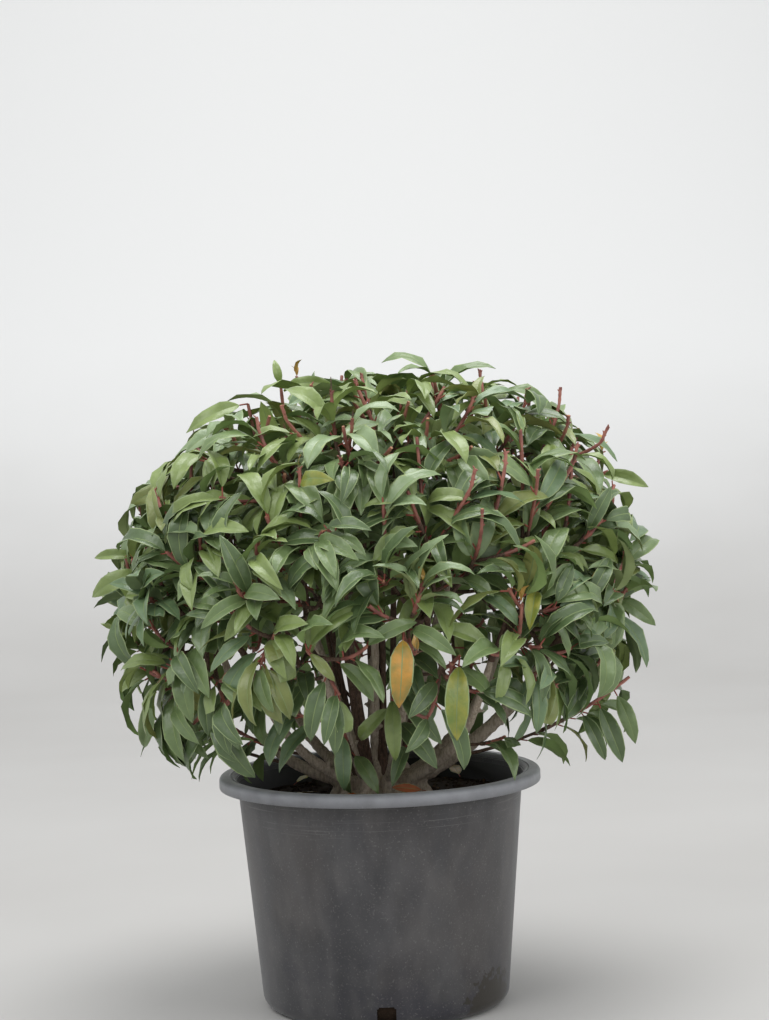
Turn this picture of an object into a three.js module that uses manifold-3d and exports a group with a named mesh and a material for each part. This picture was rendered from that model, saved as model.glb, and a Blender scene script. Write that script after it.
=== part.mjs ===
// A narrow-leaved Portuguese laurel, grown as a many-stemmed dome in a round plastic nursery pot.
// Millimetres, +Z up. The origin is the middle of the pot's flat underside, and -Y is the front.
import * as THREE from "three";
import { mergeVertices } from "three/addons/utils/BufferGeometryUtils.js";
import Module from "manifold-3d";

const wasm = await Module();
wasm.setup();

const clearance = 0.3; // gap between pieces that touch
const up = new THREE.Vector3(0, 0, 1);
const goldenAngle = Math.PI * (3 - Math.sqrt(5));

const pot = {
  height: 265,
  lipRadius: 182.8,
  lipDepth: 13.5,
  lipSkin: 3.2,
  lipRound: 3.5,
  mouthRadius: 165,
  wallTopRadius: 161.7,
  wallFootRadius: 139.3,
  wall: 2.6,
  floor: 3.4,
  cornerRadius: 16,
  slots: 4,
  slotWidth: 21,
  slotHeight: 26,
  slotReach: 22, // how far each drain slot runs in under the floor
  facets: 32,
};

const soil = { top: 238, edgeDrop: 4, edgeWidth: 34 };

// The short trunk: a lobed woody stool that every bough leaves, from its flat cut on the soil to its blunt top.
const trunk = {
  flareRadius: 60,
  waistRadius: 44,
  topRadius: 24,
  height: 40,
  lobes: 4,
  lobeDepth: 0.1,
  facets: 16,
};

const crown = {
  middle: 470, // the widest level
  halfWidth: 326,
  upward: 262, // from the widest level to the top
  downward: 303, // from the widest level to the bottom of the outline, which the skirt cuts off
  lean: 34, // the top stands this far towards +X
  fullness: 2.3, // power of the upper outline: 2 is an ellipse, more has fuller shoulders
  skirtSide: 256, // lowest foliage at the left and right
  skirtFront: 318, // lowest foliage at the front and back
  potMargin: 8, // foliage stays this far outside the lip, and this far over it
};

// Boughs: where each points, how far out and how high it ends, how soon it bows out, and its foot's width.
const boughs = [
  { name: "right", azimuth: -6, reach: 196, rise: 392, bow: 0.62, foot: 21 },
  { name: "right_back", azimuth: 31, reach: 168, rise: 400, bow: 0.7, foot: 15 },
  { name: "back_right", azimuth: 66, reach: 160, rise: 424, bow: 0.66, foot: 14 },
  { name: "back_left", azimuth: 104, reach: 158, rise: 420, bow: 0.7, foot: 13 },
  { name: "left_back", azimuth: 140, reach: 166, rise: 404, bow: 0.72, foot: 15 },
  { name: "left", azimuth: 176, reach: 176, rise: 402, bow: 0.84, foot: 16 },
  { name: "left_front", azimuth: 212, reach: 164, rise: 398, bow: 0.7, foot: 14 },
  { name: "front_left", azimuth: 247, reach: 156, rise: 428, bow: 0.62, foot: 13 },
  { name: "front_right", azimuth: 284, reach: 158, rise: 426, bow: 0.66, foot: 14 },
  { name: "right_front", azimuth: 320, reach: 170, rise: 398, bow: 0.7, foot: 15 },
  { name: "top_right", azimuth: 14, reach: 92, rise: 500, bow: 0.5, foot: 17 },
  { name: "top_back", azimuth: 96, reach: 66, rise: 506, bow: 0.45, foot: 14 },
  { name: "top_left", azimuth: 168, reach: 88, rise: 492, bow: 0.55, foot: 16 },
  { name: "top_front", azimuth: 262, reach: 62, rise: 500, bow: 0.4, foot: 13 },
];

const limb = {
  topRise: 470, // a bough that ends higher carries a mass of the crown's top
  outerFoot: { radius: 27, rise: 14 }, // where the outer boughs start inside the trunk
  innerFoot: { radius: 12, rise: 24 },
  tipShare: 0.52, // width at the tip over the foot's
  sway: 7, // side to side
  swayTurns: 5,
  sides: 7,
  steps: 6,
};

// The middles of the masses of foliage, for the ring of outer ones and for those on top.
const ringMass = { radius: 236, height: 440, frontLift: 22 };
const topMass = { radius: 98, height: 612 };

const massStem = { reach: 0.85, straight: 5, bend: 0.45, tipShare: 0.7, firstShoot: 0.2, lastShoot: 0.95 };

const shoot = {
  count: 92,
  inset: 50, // depth of the tips under the crown's surface
  topRise: 22, // how much nearer to the surface they are at the top
  lowest: -0.62, // level of the lowest tips, where 0 is the widest part and -1 the bottom
  jitter: 0.15,
  innerEvery: 5,
  innerShare: 0.76,
  bow: 0.1,
  dips: [0.16, 0.02], // how far a shoot sags, for the first tries and the last
  width: 5.6,
  tipWidth: 4,
  steps: 2,
  tries: 8,
};

const leaf = {
  length: 112,
  vary: 0.14, // share of the length, longer or shorter
  slenderness: 0.38, // width over length
  widestAt: 0.48,
  thickness: 1.8,
  fold: 0.3, // rise of the edges over the midrib, for each half width
  arch: 0.05,
  droop: 0.12,
  spread: 0.85, // angle between a leaf and its shoot
  lowerSpread: 0.35, // how much wider it is at the foot of the shoot
  hang: 0.3,
  outward: 0.6,
  perShoot: 9,
  firstAt: 0.3,
  bends: 4, // ways that a crowded leaf bends inwards before it is turned round its shoot
  turn: 1.2,
  tries: 12,
};

const finishes = {
  plastic: { color: 0x4b4b4d, roughness: 0.55 },
  compost: { color: 0x2f251d, roughness: 1 },
  bark: { color: 0x6b5a4c, roughness: 0.9 },
  leaf: { color: 0x5f7a45, roughness: 0.5 },
};

function vector(x, y, z) {
  return new THREE.Vector3(x, y, z);
}

function around(radius, azimuth, z) {
  return vector(radius * Math.cos(azimuth), radius * Math.sin(azimuth), z);
}

function radians(degrees) {
  return (degrees * Math.PI) / 180;
}

function mix(a, b, t) {
  return a.clone().lerp(b, t);
}

// Random numbers from 0 to 1 that are the same on every run.
function seeded(seed) {
  let state = seed >>> 0;
  return () => {
    state = (state + 0x6d2b79f5) >>> 0;
    let t = state;
    t = Math.imul(t ^ (t >>> 15), t | 1);
    t ^= t + Math.imul(t ^ (t >>> 7), t | 61);
    return ((t ^ (t >>> 14)) >>> 0) / 4294967296;
  };
}

function geometryFrom(positions, faces) {
  const geometry = new THREE.BufferGeometry();
  geometry.setAttribute("position", new THREE.Float32BufferAttribute(positions, 3));
  geometry.setIndex(faces);
  return geometry;
}

function solidOf(geometry) {
  const bare = geometry.clone();
  bare.deleteAttribute("normal");
  bare.deleteAttribute("uv");
  const merged = mergeVertices(bare, 1e-4);
  const vertProperties = merged.attributes.position.array;
  const triVerts = new Uint32Array(merged.index.array);
  return new wasm.Manifold(new wasm.Mesh({ numProp: 3, vertProperties, triVerts }));
}

function geometryOf(solid) {
  const mesh = solid.getMesh();
  const positions = [];
  for (let i = 0; i < mesh.numVert; i++) {
    positions.push(...mesh.vertProperties.subarray(i * mesh.numProp, i * mesh.numProp + 3));
  }
  return geometryFrom(positions, [...mesh.triVerts]);
}

// The largest outer body of a solid: loose scraps are dropped and sealed hollows filled.
function wholeOf(solid) {
  return solid.decompose().reduce((best, body) => (body.volume() > best.volume() ? body : best));
}

// Whether every edge still joins two faces, and none has vanished, once the corners are rounded to a micrometre.
function isSound(solid) {
  const geometry = geometryOf(solid);
  const positions = geometry.attributes.position;
  const faces = geometry.index.array;
  const corner = vector(0, 0, 0);
  const names = Array.from({ length: positions.count }, (_, i) =>
    corner.fromBufferAttribute(positions, i).multiplyScalar(1e3).round().toArray().join(),
  );
  const uses = new Map();
  for (let i = 0; i < faces.length; i++) {
    const next = i % 3 === 2 ? i - 2 : i + 1;
    const ends = [names[faces[i]], names[faces[next]]].sort();
    if (ends[0] === ends[1]) return false;
    const edge = ends.join("/");
    uses.set(edge, (uses.get(edge) ?? 0) + 1);
  }
  return [...uses.values()].every((count) => count === 2);
}

// Bodies joined one after another. One that would stay loose or leave a flawed surface is left out.
function joined(bodies) {
  return bodies.reduce((whole, body) => {
    const next = wholeOf(whole.add(body));
    const grew = next.volume() > whole.volume() + 0.5 * body.volume();
    return grew && isSound(next) ? next : whole;
  });
}

function named(name, geometry, finish) {
  geometry.computeVertexNormals();
  const mesh = new THREE.Mesh(geometry, new THREE.MeshStandardMaterial({ ...finish, metalness: 0 }));
  mesh.name = name;
  return mesh;
}

// The faces that close a stack of rings, each ring with the same number of corners.
function stackFaces(rings, sides) {
  const faces = [];
  const last = (rings - 1) * sides;
  for (let ring = 0; ring < last; ring += sides) {
    for (let k = 0; k < sides; k++) {
      const next = (k + 1) % sides;
      faces.push(ring + k, ring + next, ring + sides + next);
      faces.push(ring + k, ring + sides + next, ring + sides + k);
    }
  }
  for (let k = 1; k < sides - 1; k++) {
    faces.push(0, k + 1, k);
    faces.push(last, last + k, last + k + 1);
  }
  return faces;
}

// A closed tube with a ring of the given radius square to the way at each point.
function tube(points, radii, sides) {
  const positions = [];
  const side = vector(0, 0, 0);
  points.forEach((point, i) => {
    const ahead = points[Math.min(i + 1, points.length - 1)];
    const tangent = ahead.clone().sub(points[Math.max(i - 1, 0)]).normalize();
    if (i === 0) side.copy(Math.abs(tangent.z) < 0.9 ? up : vector(1, 0, 0));
    side.addScaledVector(tangent, -side.dot(tangent)).normalize();
    const across = tangent.clone().cross(side);
    for (let k = 0; k < sides; k++) {
      const turn = (2 * Math.PI * k) / sides;
      const corner = point.clone().addScaledVector(side, radii[i] * Math.cos(turn));
      positions.push(...corner.addScaledVector(across, radii[i] * Math.sin(turn)).toArray());
    }
  });
  return geometryFrom(positions, stackFaces(points.length, sides));
}

function lathed(profile, facets) {
  return new THREE.LatheGeometry(profile, facets).rotateX(Math.PI / 2);
}

function arc(centreX, centreY, radius, fromDegrees, toDegrees, steps) {
  return Array.from({ length: steps + 1 }, (_, i) => {
    const turn = radians(fromDegrees + ((toDegrees - fromDegrees) * i) / steps);
    return new THREE.Vector2(centreX + radius * Math.cos(turn), centreY + radius * Math.sin(turn));
  });
}

function wallRadius(z) {
  return pot.wallFootRadius + ((pot.wallTopRadius - pot.wallFootRadius) * z) / (pot.height - pot.lipDepth);
}

// A tapered wall on a rounded foot, with a lip that turns out and down and leaves a groove behind it.
function potGeometry() {
  const underLip = pot.height - pot.lipDepth;
  const midLip = pot.height - pot.lipDepth / 2;
  const lipInside = pot.lipRadius - pot.lipSkin;
  const footRadius = wallRadius(pot.cornerRadius);
  const innerCorner = pot.cornerRadius - pot.wall;
  const profile = [
    new THREE.Vector2(0, 0),
    ...arc(footRadius - pot.cornerRadius, pot.cornerRadius, pot.cornerRadius, -90, 0, 2),
    new THREE.Vector2(wallRadius(underLip), midLip),
    new THREE.Vector2(lipInside, midLip + 1),
    new THREE.Vector2(lipInside, underLip),
    new THREE.Vector2(pot.lipRadius - 1, underLip),
    new THREE.Vector2(pot.lipRadius, midLip),
    new THREE.Vector2(pot.lipRadius - pot.lipRound, pot.height - pot.lipRound / 2),
    new THREE.Vector2(pot.lipRadius - 2.5 * pot.lipRound, pot.height),
    new THREE.Vector2(pot.mouthRadius + pot.lipRound, pot.height - 1),
    new THREE.Vector2(pot.mouthRadius - 1, pot.height - pot.lipRound),
    new THREE.Vector2(wallRadius(underLip) - pot.wall, underLip - pot.lipRound),
    ...arc(footRadius - pot.cornerRadius, pot.floor + innerCorner, innerCorner, 0, -90, 1),
    new THREE.Vector2(0, pot.floor),
  ];
  const slots = Array.from({ length: pot.slots }, (_, i) =>
    new THREE.BoxGeometry(2 * pot.slotReach, pot.slotWidth, 2 * pot.slotHeight)
      .translate(pot.wallFootRadius, 0, 0)
      .rotateZ((2 * Math.PI * i) / pot.slots),
  );
  const bare = solidOf(lathed(profile, pot.facets));
  return geometryOf(slots.reduce((solid, slot) => solid.subtract(solidOf(slot)), bare));
}

// The filling stays clear of the pot's wall, floor and corner all round.
function soilGeometry() {
  const inside = (z) => wallRadius(z) - pot.wall - 2 * clearance;
  const foot = pot.floor + clearance;
  const shoulder = foot + pot.cornerRadius - 1;
  const edge = soil.top - soil.edgeDrop;
  const profile = [
    new THREE.Vector2(0, foot),
    new THREE.Vector2(wallRadius(pot.cornerRadius) - pot.cornerRadius - 2 * clearance, foot),
    new THREE.Vector2(inside(shoulder), shoulder),
    new THREE.Vector2(inside(edge) - 1, edge),
    new THREE.Vector2(inside(edge) - soil.edgeWidth, soil.top),
    new THREE.Vector2(0, soil.top),
  ];
  return lathed(profile, pot.facets);
}

// The trunk grown by spare on all sides, so that boughs can be cut clear of it.
function trunkGeometry(spare) {
  const outline = [
    [0, trunk.flareRadius],
    [0.22, (trunk.flareRadius + trunk.waistRadius) / 2.1],
    [0.5, trunk.waistRadius],
    [0.85, (trunk.waistRadius + trunk.topRadius) / 2],
    [1, trunk.topRadius],
  ];
  const foot = soil.top + clearance - spare;
  const positions = outline.flatMap(([share, radius]) =>
    Array.from({ length: trunk.facets }, (_, k) => {
      const turn = (2 * Math.PI * k) / trunk.facets;
      const lobe = 1 + trunk.lobeDepth * (1 - share) * Math.cos(trunk.lobes * turn);
      return around(radius * lobe + spare, turn, foot + (trunk.height + 2 * spare) * share).toArray();
    }).flat(),
  );
  return geometryFrom(positions, stackFaces(outline.length, trunk.facets));
}

function isTop(bough) {
  return bough.rise > limb.topRise;
}

// A bough starts low inside the trunk, bows outwards and then rises to its tip, tapering all the way.
function boughLine(bough, index) {
  const azimuth = radians(bough.azimuth);
  const start = isTop(bough) ? limb.innerFoot : limb.outerFoot;
  const foot = around(start.radius, azimuth, soil.top + start.rise);
  const tip = around(bough.reach, azimuth, bough.rise);
  const bend = around(bough.bow * bough.reach, azimuth, foot.z + (1 - bough.bow) * 0.6 * (tip.z - foot.z));
  const path = new THREE.QuadraticBezierCurve3(foot, bend, tip);
  const across = around(1, azimuth + Math.PI / 2, 0);
  const phase = 2 * Math.PI * seeded(100 + index)();
  const shares = Array.from({ length: limb.steps + 1 }, (_, i) => i / limb.steps);
  return {
    points: shares.map((t) =>
      path.getPoint(t).addScaledVector(across, limb.sway * t * Math.sin(phase + limb.swayTurns * t)),
    ),
    radii: shares.map((t) => (bough.foot / 2) * (1 + (limb.tipShare - 1) * t)),
  };
}

function massMiddle(bough) {
  const azimuth = radians(bough.azimuth);
  if (isTop(bough)) return around(topMass.radius, azimuth, topMass.height).add(vector(crown.lean / 2, 0, 0));
  const frontness = Math.sin(azimuth) ** 2;
  return around(ringMass.radius, azimuth, ringMass.height + ringMass.frontLift * frontness);
}

function leanAt(z) {
  return (crown.lean * Math.max(0, z - crown.middle)) / crown.upward;
}

// Where a point lies in the crown: 1 on its surface, less inside.
function crownShare(p) {
  const rise = p.z - crown.middle;
  const flat = Math.hypot(p.x - leanAt(p.z), p.y) / crown.halfWidth;
  if (rise < 0) return Math.hypot(flat, rise / crown.downward);
  return (flat ** crown.fullness + (rise / crown.upward) ** crown.fullness) ** (1 / crown.fullness);
}

function skirtHeight(p) {
  const sideness = p.x ** 2 / Math.max(1, p.x ** 2 + p.y ** 2);
  return crown.skirtFront + (crown.skirtSide - crown.skirtFront) * sideness;
}

function insideCrown(p) {
  const nearPot = Math.hypot(p.x, p.y) < pot.lipRadius + crown.potMargin && p.z < pot.height + crown.potMargin;
  return crownShare(p) <= 1 && p.z >= skirtHeight(p) && !nearPot;
}

// A mass keeps to the points that are nearer to its own middle than to any other, by a small margin.
function insideOwnSpace(p, own, middles) {
  return middles.every((middle, i) => {
    if (i === own) return true;
    const apart = middle.distanceTo(middles[own]);
    return (p.distanceToSquared(middle) - p.distanceToSquared(middles[own])) / (2 * apart) > clearance;
  });
}

// Points close together along every bough, each with the bough's radius there.
function boughBeads(limbs) {
  return limbs.flatMap(({ points, radii }) =>
    points.slice(1).flatMap((to, i) => {
      const count = Math.ceil(to.distanceTo(points[i]) / 3);
      const shares = Array.from({ length: count + 1 }, (_, k) => k / count);
      return shares.map((share) => ({ at: mix(points[i], to, share), radius: radii[i] }));
    }),
  );
}

function outwardAt(p) {
  return vector(p.x / crown.halfWidth, p.y / crown.halfWidth, (p.z - crown.middle) / crown.upward).normalize();
}

// A leaf that grows from root along direction, folded along its midrib, its upper side towards face.
function leafShape(root, direction, face, length) {
  const across = direction.clone().cross(face).normalize();
  const normal = across.clone().cross(direction).normalize();
  const half = (leaf.slenderness * length) / 2;
  const middle = root.clone().addScaledVector(direction, leaf.widestAt * length);
  middle.addScaledVector(normal, leaf.arch * length);
  const edge = middle.clone().addScaledVector(normal, leaf.fold * half);
  const left = edge.clone().addScaledVector(across, -half);
  const right = edge.clone().addScaledVector(across, half);
  const tip = root.clone().addScaledVector(direction, length).addScaledVector(normal, -leaf.droop * length);
  return { root, tip, left, right, middle, normal, length };
}

function leafSolid({ root, tip, left, right, middle, normal }) {
  const upper = middle.clone().addScaledVector(normal, leaf.thickness / 2);
  const lower = middle.clone().addScaledVector(normal, -leaf.thickness / 2);
  const positions = [root, tip, left, right, upper, lower].flatMap((p) => p.toArray());
  const faces = [0, 4, 2, 0, 3, 4, 1, 2, 4, 1, 4, 3, 0, 2, 5, 0, 5, 3, 1, 5, 2, 1, 3, 5];
  return solidOf(geometryFrom(positions, faces));
}

function leafFaces({ root, tip, left, right, middle }) {
  return [
    new THREE.Triangle(root, left, middle),
    new THREE.Triangle(middle, left, tip),
    new THREE.Triangle(root, middle, right),
    new THREE.Triangle(middle, tip, right),
  ];
}

// Whether an edge of one leaf goes through a face of another.
function pierces(shape, other) {
  const { root, tip, left, right, middle } = shape;
  const outline = [root, left, tip, right, root, middle, tip];
  const faces = leafFaces(other);
  const ray = new THREE.Ray();
  const hit = vector(0, 0, 0);
  return outline.slice(1).some((to, i) => {
    const from = outline[i];
    ray.set(from, to.clone().sub(from).normalize());
    return faces.some(({ a, b, c }) => {
      if (!ray.intersectTriangle(a, b, c, false, hit)) return false;
      return hit.distanceTo(from) < to.distanceTo(from);
    });
  });
}

function touchesLeaf(shape, others) {
  const near = others.filter((other) => other.middle.distanceTo(shape.middle) < shape.length);
  return near.some((other) => pierces(shape, other) || pierces(other, shape));
}

function touchesBough(shape, beads) {
  const nearest = vector(0, 0, 0);
  const faces = leafFaces(shape);
  const near = beads.filter(({ at }) => at.distanceTo(shape.middle) < shape.length);
  return near.some(({ at, radius }) =>
    faces.some((face) => face.closestPointToPoint(at, nearest).distanceTo(at) < radius + leaf.thickness),
  );
}

// The tips of the shoots: an even spiral over the crown, with every few of them deeper inside it.
function shootTips() {
  return Array.from({ length: shoot.count }, (_, i) => {
    const level = 1 - ((i + 0.5) / shoot.count) * (1 - shoot.lowest);
    const azimuth = i * goldenAngle + shoot.jitter * (seeded(500 + i)() - 0.5);
    const power = level > 0 ? crown.fullness : 2;
    const half = level > 0 ? crown.upward : crown.downward;
    const inset = shoot.inset - shoot.topRise * Math.max(0, level);
    const depth = i % shoot.innerEvery === shoot.innerEvery - 1 ? shoot.innerShare : 1;
    const flat = (1 - Math.abs(level) ** power) ** (1 / power) * (crown.halfWidth - inset) * depth;
    const tip = around(flat, azimuth, crown.middle + level * (half - inset) * depth);
    tip.x += leanAt(tip.z);
    return { tip, index: i };
  }).filter(({ tip }) => tip.z > skirtHeight(tip) + 0.4 * leaf.length);
}

// The stem of a mass starts just past its bough's tip, in line with it, and runs most of the way to the middle.
function massStemLine({ points, radii }, middle) {
  const end = points.at(-1);
  const heading = end.clone().sub(points.at(-2)).normalize();
  const start = end.clone().addScaledVector(heading, clearance);
  const bend = start.clone().addScaledVector(heading, massStem.bend * start.distanceTo(middle));
  const path = new THREE.QuadraticBezierCurve3(start, bend, mix(start, middle, massStem.reach));
  const way = path.getPoints(3);
  way.splice(1, 0, start.clone().addScaledVector(heading, massStem.straight));
  const rings = way.map((_, i) => {
    const share = THREE.MathUtils.lerp(0.98, massStem.tipShare, i / (way.length - 1));
    return share * radii.at(-1);
  });
  return { path, points: way, rings };
}

// The first way from the stem to the tip that keeps to the space and clear of the boughs.
function shootLine(stem, tip, share, fits, beads) {
  for (let attempt = 0; attempt < shoot.tries; attempt++) {
    const along = (share + attempt * 0.382) % 1;
    const base = stem.path.getPoint(THREE.MathUtils.lerp(massStem.firstShoot, massStem.lastShoot, along));
    const span = base.distanceTo(tip);
    const dip = shoot.dips[attempt < shoot.tries / 2 ? 0 : 1];
    const bend = mix(base, tip, 0.55).addScaledVector(outwardAt(tip), shoot.bow * span);
    const path = new THREE.QuadraticBezierCurve3(base, bend.addScaledVector(up, -dip * span), tip);
    const probes = path.getPoints(12).slice(2);
    const blocked = beads.some(({ at, radius }) => probes.some((p) => p.distanceTo(at) < radius + shoot.width));
    if (!blocked && path.getPoints(shoot.steps).every(fits)) return path;
  }
  return null;
}

// Leaves stand round a shoot in a spiral. One with no room bends inwards, then turns, or is left out.
function shootLeaves(path, middle, random, fits, grown, beads) {
  const outward = outwardAt(path.v2);
  const face = up.clone().multiplyScalar(0.8).addScaledVector(outward, 0.7);
  const firstTurn = 2 * Math.PI * random();
  for (let k = 0; k < leaf.perShoot; k++) {
    const t = leaf.firstAt + ((1 - leaf.firstAt) * (k + 0.5)) / leaf.perShoot;
    const root = path.getPoint(t);
    const tangent = path.getTangent(t);
    const sideways = tangent.clone().cross(up).normalize();
    const homeward = middle.clone().sub(root).normalize();
    const spread = leaf.spread + leaf.lowerSpread * (1 - t);
    const length = leaf.length * (1 + leaf.vary * (2 * random() - 1));
    for (let attempt = 0; attempt < leaf.tries; attempt++) {
      const bending = (attempt % leaf.bends) / leaf.bends;
      const turn = firstTurn + k * goldenAngle + Math.floor(attempt / leaf.bends) * leaf.turn;
      const direction = sideways.clone().applyAxisAngle(tangent, turn).multiplyScalar(Math.sin(spread));
      direction.addScaledVector(tangent, Math.cos(spread)).addScaledVector(up, -leaf.hang);
      direction.addScaledVector(outward, leaf.outward - bending).addScaledVector(homeward, 1.4 * bending);
      const shape = leafShape(root, direction.normalize(), face, length * (1 - 0.012 * attempt));
      const reach = [shape.tip, shape.left, shape.right, mix(shape.tip, root, 0.3), mix(shape.tip, root, 0.7)];
      if (reach.every(fits) && !touchesBough(shape, beads) && !touchesLeaf(shape, grown)) {
        grown.push(shape);
        break;
      }
    }
  }
}

// A mass is one body: its stem, the shoots that leave the stem, and the leaves round each shoot.
function foliageGeometry(own, tips, middles, limbs, beads) {
  const stem = massStemLine(limbs[own], middles[own]);
  const twigs = [tube(stem.points, stem.rings, 3)];
  const grown = [];
  const fits = (p) => insideCrown(p) && insideOwnSpace(p, own, middles);
  tips.forEach(({ tip, index }, i) => {
    const path = shootLine(stem, tip, (i + 0.5) / tips.length, fits, beads);
    if (!path) return;
    const points = path.getPoints(shoot.steps);
    const rings = points.map((_, k) => THREE.MathUtils.lerp(shoot.width, shoot.tipWidth, k / shoot.steps) / 2);
    twigs.push(tube(points, rings, 3));
    shootLeaves(path, middles[own], seeded(1000 + index), fits, grown, beads);
  });
  return geometryOf(joined([...twigs.map(solidOf), ...grown.map(leafSolid)]));
}

const plant = new THREE.Group();
plant.add(named("pot", potGeometry(), finishes.plastic));
plant.add(named("soil", soilGeometry(), finishes.compost));
plant.add(named("trunk", trunkGeometry(0), finishes.bark));

// Each bough is cut clear of the trunk and of the boughs before it.
const limbs = boughs.map(boughLine);
const earlier = [solidOf(trunkGeometry(clearance))];
limbs.forEach(({ points, radii }, i) => {
  const bare = solidOf(tube(points, radii, limb.sides));
  const cut = wholeOf(earlier.reduce((solid, other) => solid.subtract(other), bare));
  plant.add(named("bough_" + boughs[i].name, geometryOf(cut), finishes.bark));
  const wider = radii.map((radius) => radius + clearance);
  earlier.push(solidOf(tube(points, wider, limb.sides)));
});

// Each shoot belongs to the mass whose middle is nearest to its tip.
const middles = boughs.map(massMiddle);
const beads = boughBeads(limbs);
const tipsOf = boughs.map(() => []);
shootTips().forEach((shootTip) => {
  const distances = middles.map((middle) => middle.distanceTo(shootTip.tip));
  tipsOf[distances.indexOf(Math.min(...distances))].push(shootTip);
});
boughs.forEach((bough, i) => {
  const geometry = foliageGeometry(i, tipsOf[i], middles, limbs, beads);
  plant.add(named("foliage_" + bough.name, geometry, finishes.leaf));
});

export default plant;
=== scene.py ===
# A narrow-leaved Portuguese laurel in its nursery pot: bark, twigs, leaves, compost and pot over the frame.
# The plant grows by the part's own rule, in millimetres, and each mesh is turned to metres as it is made.
import math

import bmesh
import bpy
import numpy as np
from mathutils import Matrix, Vector, noise


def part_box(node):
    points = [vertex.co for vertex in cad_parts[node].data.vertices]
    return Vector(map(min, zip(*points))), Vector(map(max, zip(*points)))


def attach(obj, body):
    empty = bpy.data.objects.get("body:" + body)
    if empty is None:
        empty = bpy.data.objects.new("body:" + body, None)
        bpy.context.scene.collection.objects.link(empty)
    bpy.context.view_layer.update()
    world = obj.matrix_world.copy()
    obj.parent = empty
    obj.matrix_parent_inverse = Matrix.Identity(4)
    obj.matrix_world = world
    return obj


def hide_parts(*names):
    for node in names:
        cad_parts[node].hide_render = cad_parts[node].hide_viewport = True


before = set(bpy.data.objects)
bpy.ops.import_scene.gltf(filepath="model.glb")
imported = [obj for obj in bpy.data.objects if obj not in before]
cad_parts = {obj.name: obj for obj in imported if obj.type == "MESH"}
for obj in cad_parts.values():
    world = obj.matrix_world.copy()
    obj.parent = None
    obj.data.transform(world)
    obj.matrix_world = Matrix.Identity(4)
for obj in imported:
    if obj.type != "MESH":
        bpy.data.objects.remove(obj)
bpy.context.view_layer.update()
up = Vector((0, 0, 1))
goldenAngle = math.pi * (3 - math.sqrt(5))
fullTurn = 2 * math.pi
smooth = {"interpolation_type": "SMOOTHSTEP"}
product = {"operation": "MULTIPLY"}
productPlus = {"operation": "MULTIPLY_ADD"}

# Where the seeds of each use of random numbers start, so that every run gives the same plant.
seeds = {
    "twigs": 0,
    "leaflets": 0,
    "stool": 7,
    "crumbs": 11,
    "boughs": 40,
    "stubs": 77,
    "leafModels": 600,
    "youngTips": 2000,
    "youngShoots": 3000,
    "sprays": 5000,
    "newLeaves": 7000,
}


def dice(use, index=0):
    return np.random.default_rng(seeds[use] + index)


def varied(random, value, share):
    return value * (1 + share * random.uniform(-1, 1))


def mm(metres):
    return metres * 1000


def mixed(a, b, share):
    return a + (b - a) * share


def clamped(value):
    return min(1, max(0, value))


def linear(hexColour):
    parts = [int(hexColour[i:i + 2], 16) / 255 for i in (1, 3, 5)]
    return (*(c / 12.92 if c <= 0.04045 else ((c + 0.055) / 1.055) ** 2.4 for c in parts), 1)


# Each input gets a plain value, or the socket that feeds it.
def setInputs(node, inputs):
    for name, value in inputs.items():
        if isinstance(value, bpy.types.NodeSocket):
            node.id_data.links.new(value, node.inputs[name])
        else:
            node.inputs[name].default_value = value


# Adds a node with its inputs and settings, and gives back one of its outputs.
def addNode(tree, kind, inputs, settings=None, output=0):
    node = tree.nodes.new("ShaderNode" + kind)
    for name, value in (settings or {}).items():
        setattr(node, name, value)
    setInputs(node, inputs)
    return node.outputs[output]


# Input values that carry the range from a to b over to the range from c to d.
def ranges(a, b, c=0, d=1):
    return {"From Min": a, "From Max": b, "To Min": c, "To Max": d}


# Noise in patches of a size in millimetres, and what its range is carried over to.
def clouds(tree, place, size, detail, limits=(0, 1), settings=None):
    cloud = addNode(tree, "TexNoise", {"Vector": place, "Scale": 1 / size, "Detail": detail})
    return addNode(tree, "MapRange", {"Value": cloud, **ranges(*limits)}, settings)


# Tones laid over a first one, each as strongly as its share.
def layered(tree, first, layers):
    colour = linear(first)
    for share, tone in layers:
        colour = addNode(tree, "Mix", {0: share, 6: colour, 7: linear(tone)}, {"data_type": "RGBA"}, 2)
    return colour


# Fine relief from noise of a size in millimetres, with its strength and its depth in metres.
def addRelief(shader, place, size, detail, strength, depth):
    grain = addNode(shader.id_data, "TexNoise", {"Vector": place, "Scale": 1 / size, "Detail": detail})
    bump = addNode(shader.id_data, "Bump", {"Height": grain, "Strength": strength, "Distance": depth})
    setInputs(shader, {"Normal": bump})


# A material with its Principled shader and its object coordinates in millimetres.
def newMaterial(name, roughness, ior, specular):
    material = bpy.data.materials.new(name)
    material.use_nodes = True
    tree = material.node_tree
    shader = tree.nodes["Principled BSDF"]
    setInputs(shader, {"Roughness": roughness, "IOR": ior, "Specular IOR Level": specular})
    where = addNode(tree, "TexCoord", {}, output="Object")
    return material, tree, shader, addNode(tree, "Mapping", {"Vector": where, "Scale": (1000, 1000, 1000)})


# A material in two tones that take turns in cloudy patches, with a relief or a clear coat where it has one.
def makeFinish(name, roughness, ior, specular, patches, tones, relief=None, coat=(0, 0.03)):
    material, tree, shader, place = newMaterial(name, roughness, ior, specular)
    first, second = tones
    setInputs(shader, {
        "Base Color": layered(tree, first, [(clouds(tree, place, *patches), second)]),
        "Coat Weight": coat[0], "Coat Roughness": coat[1]})
    if relief:
        addRelief(shader, place, *relief)
    return material


def newObject(name, data):
    thing = bpy.data.objects.new(name, data)
    bpy.context.scene.collection.objects.link(thing)
    return thing


def newMesh(name, points, faces):
    mesh = bpy.data.meshes.new(name)
    mesh.from_pydata(points, [], faces)
    return mesh


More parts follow.
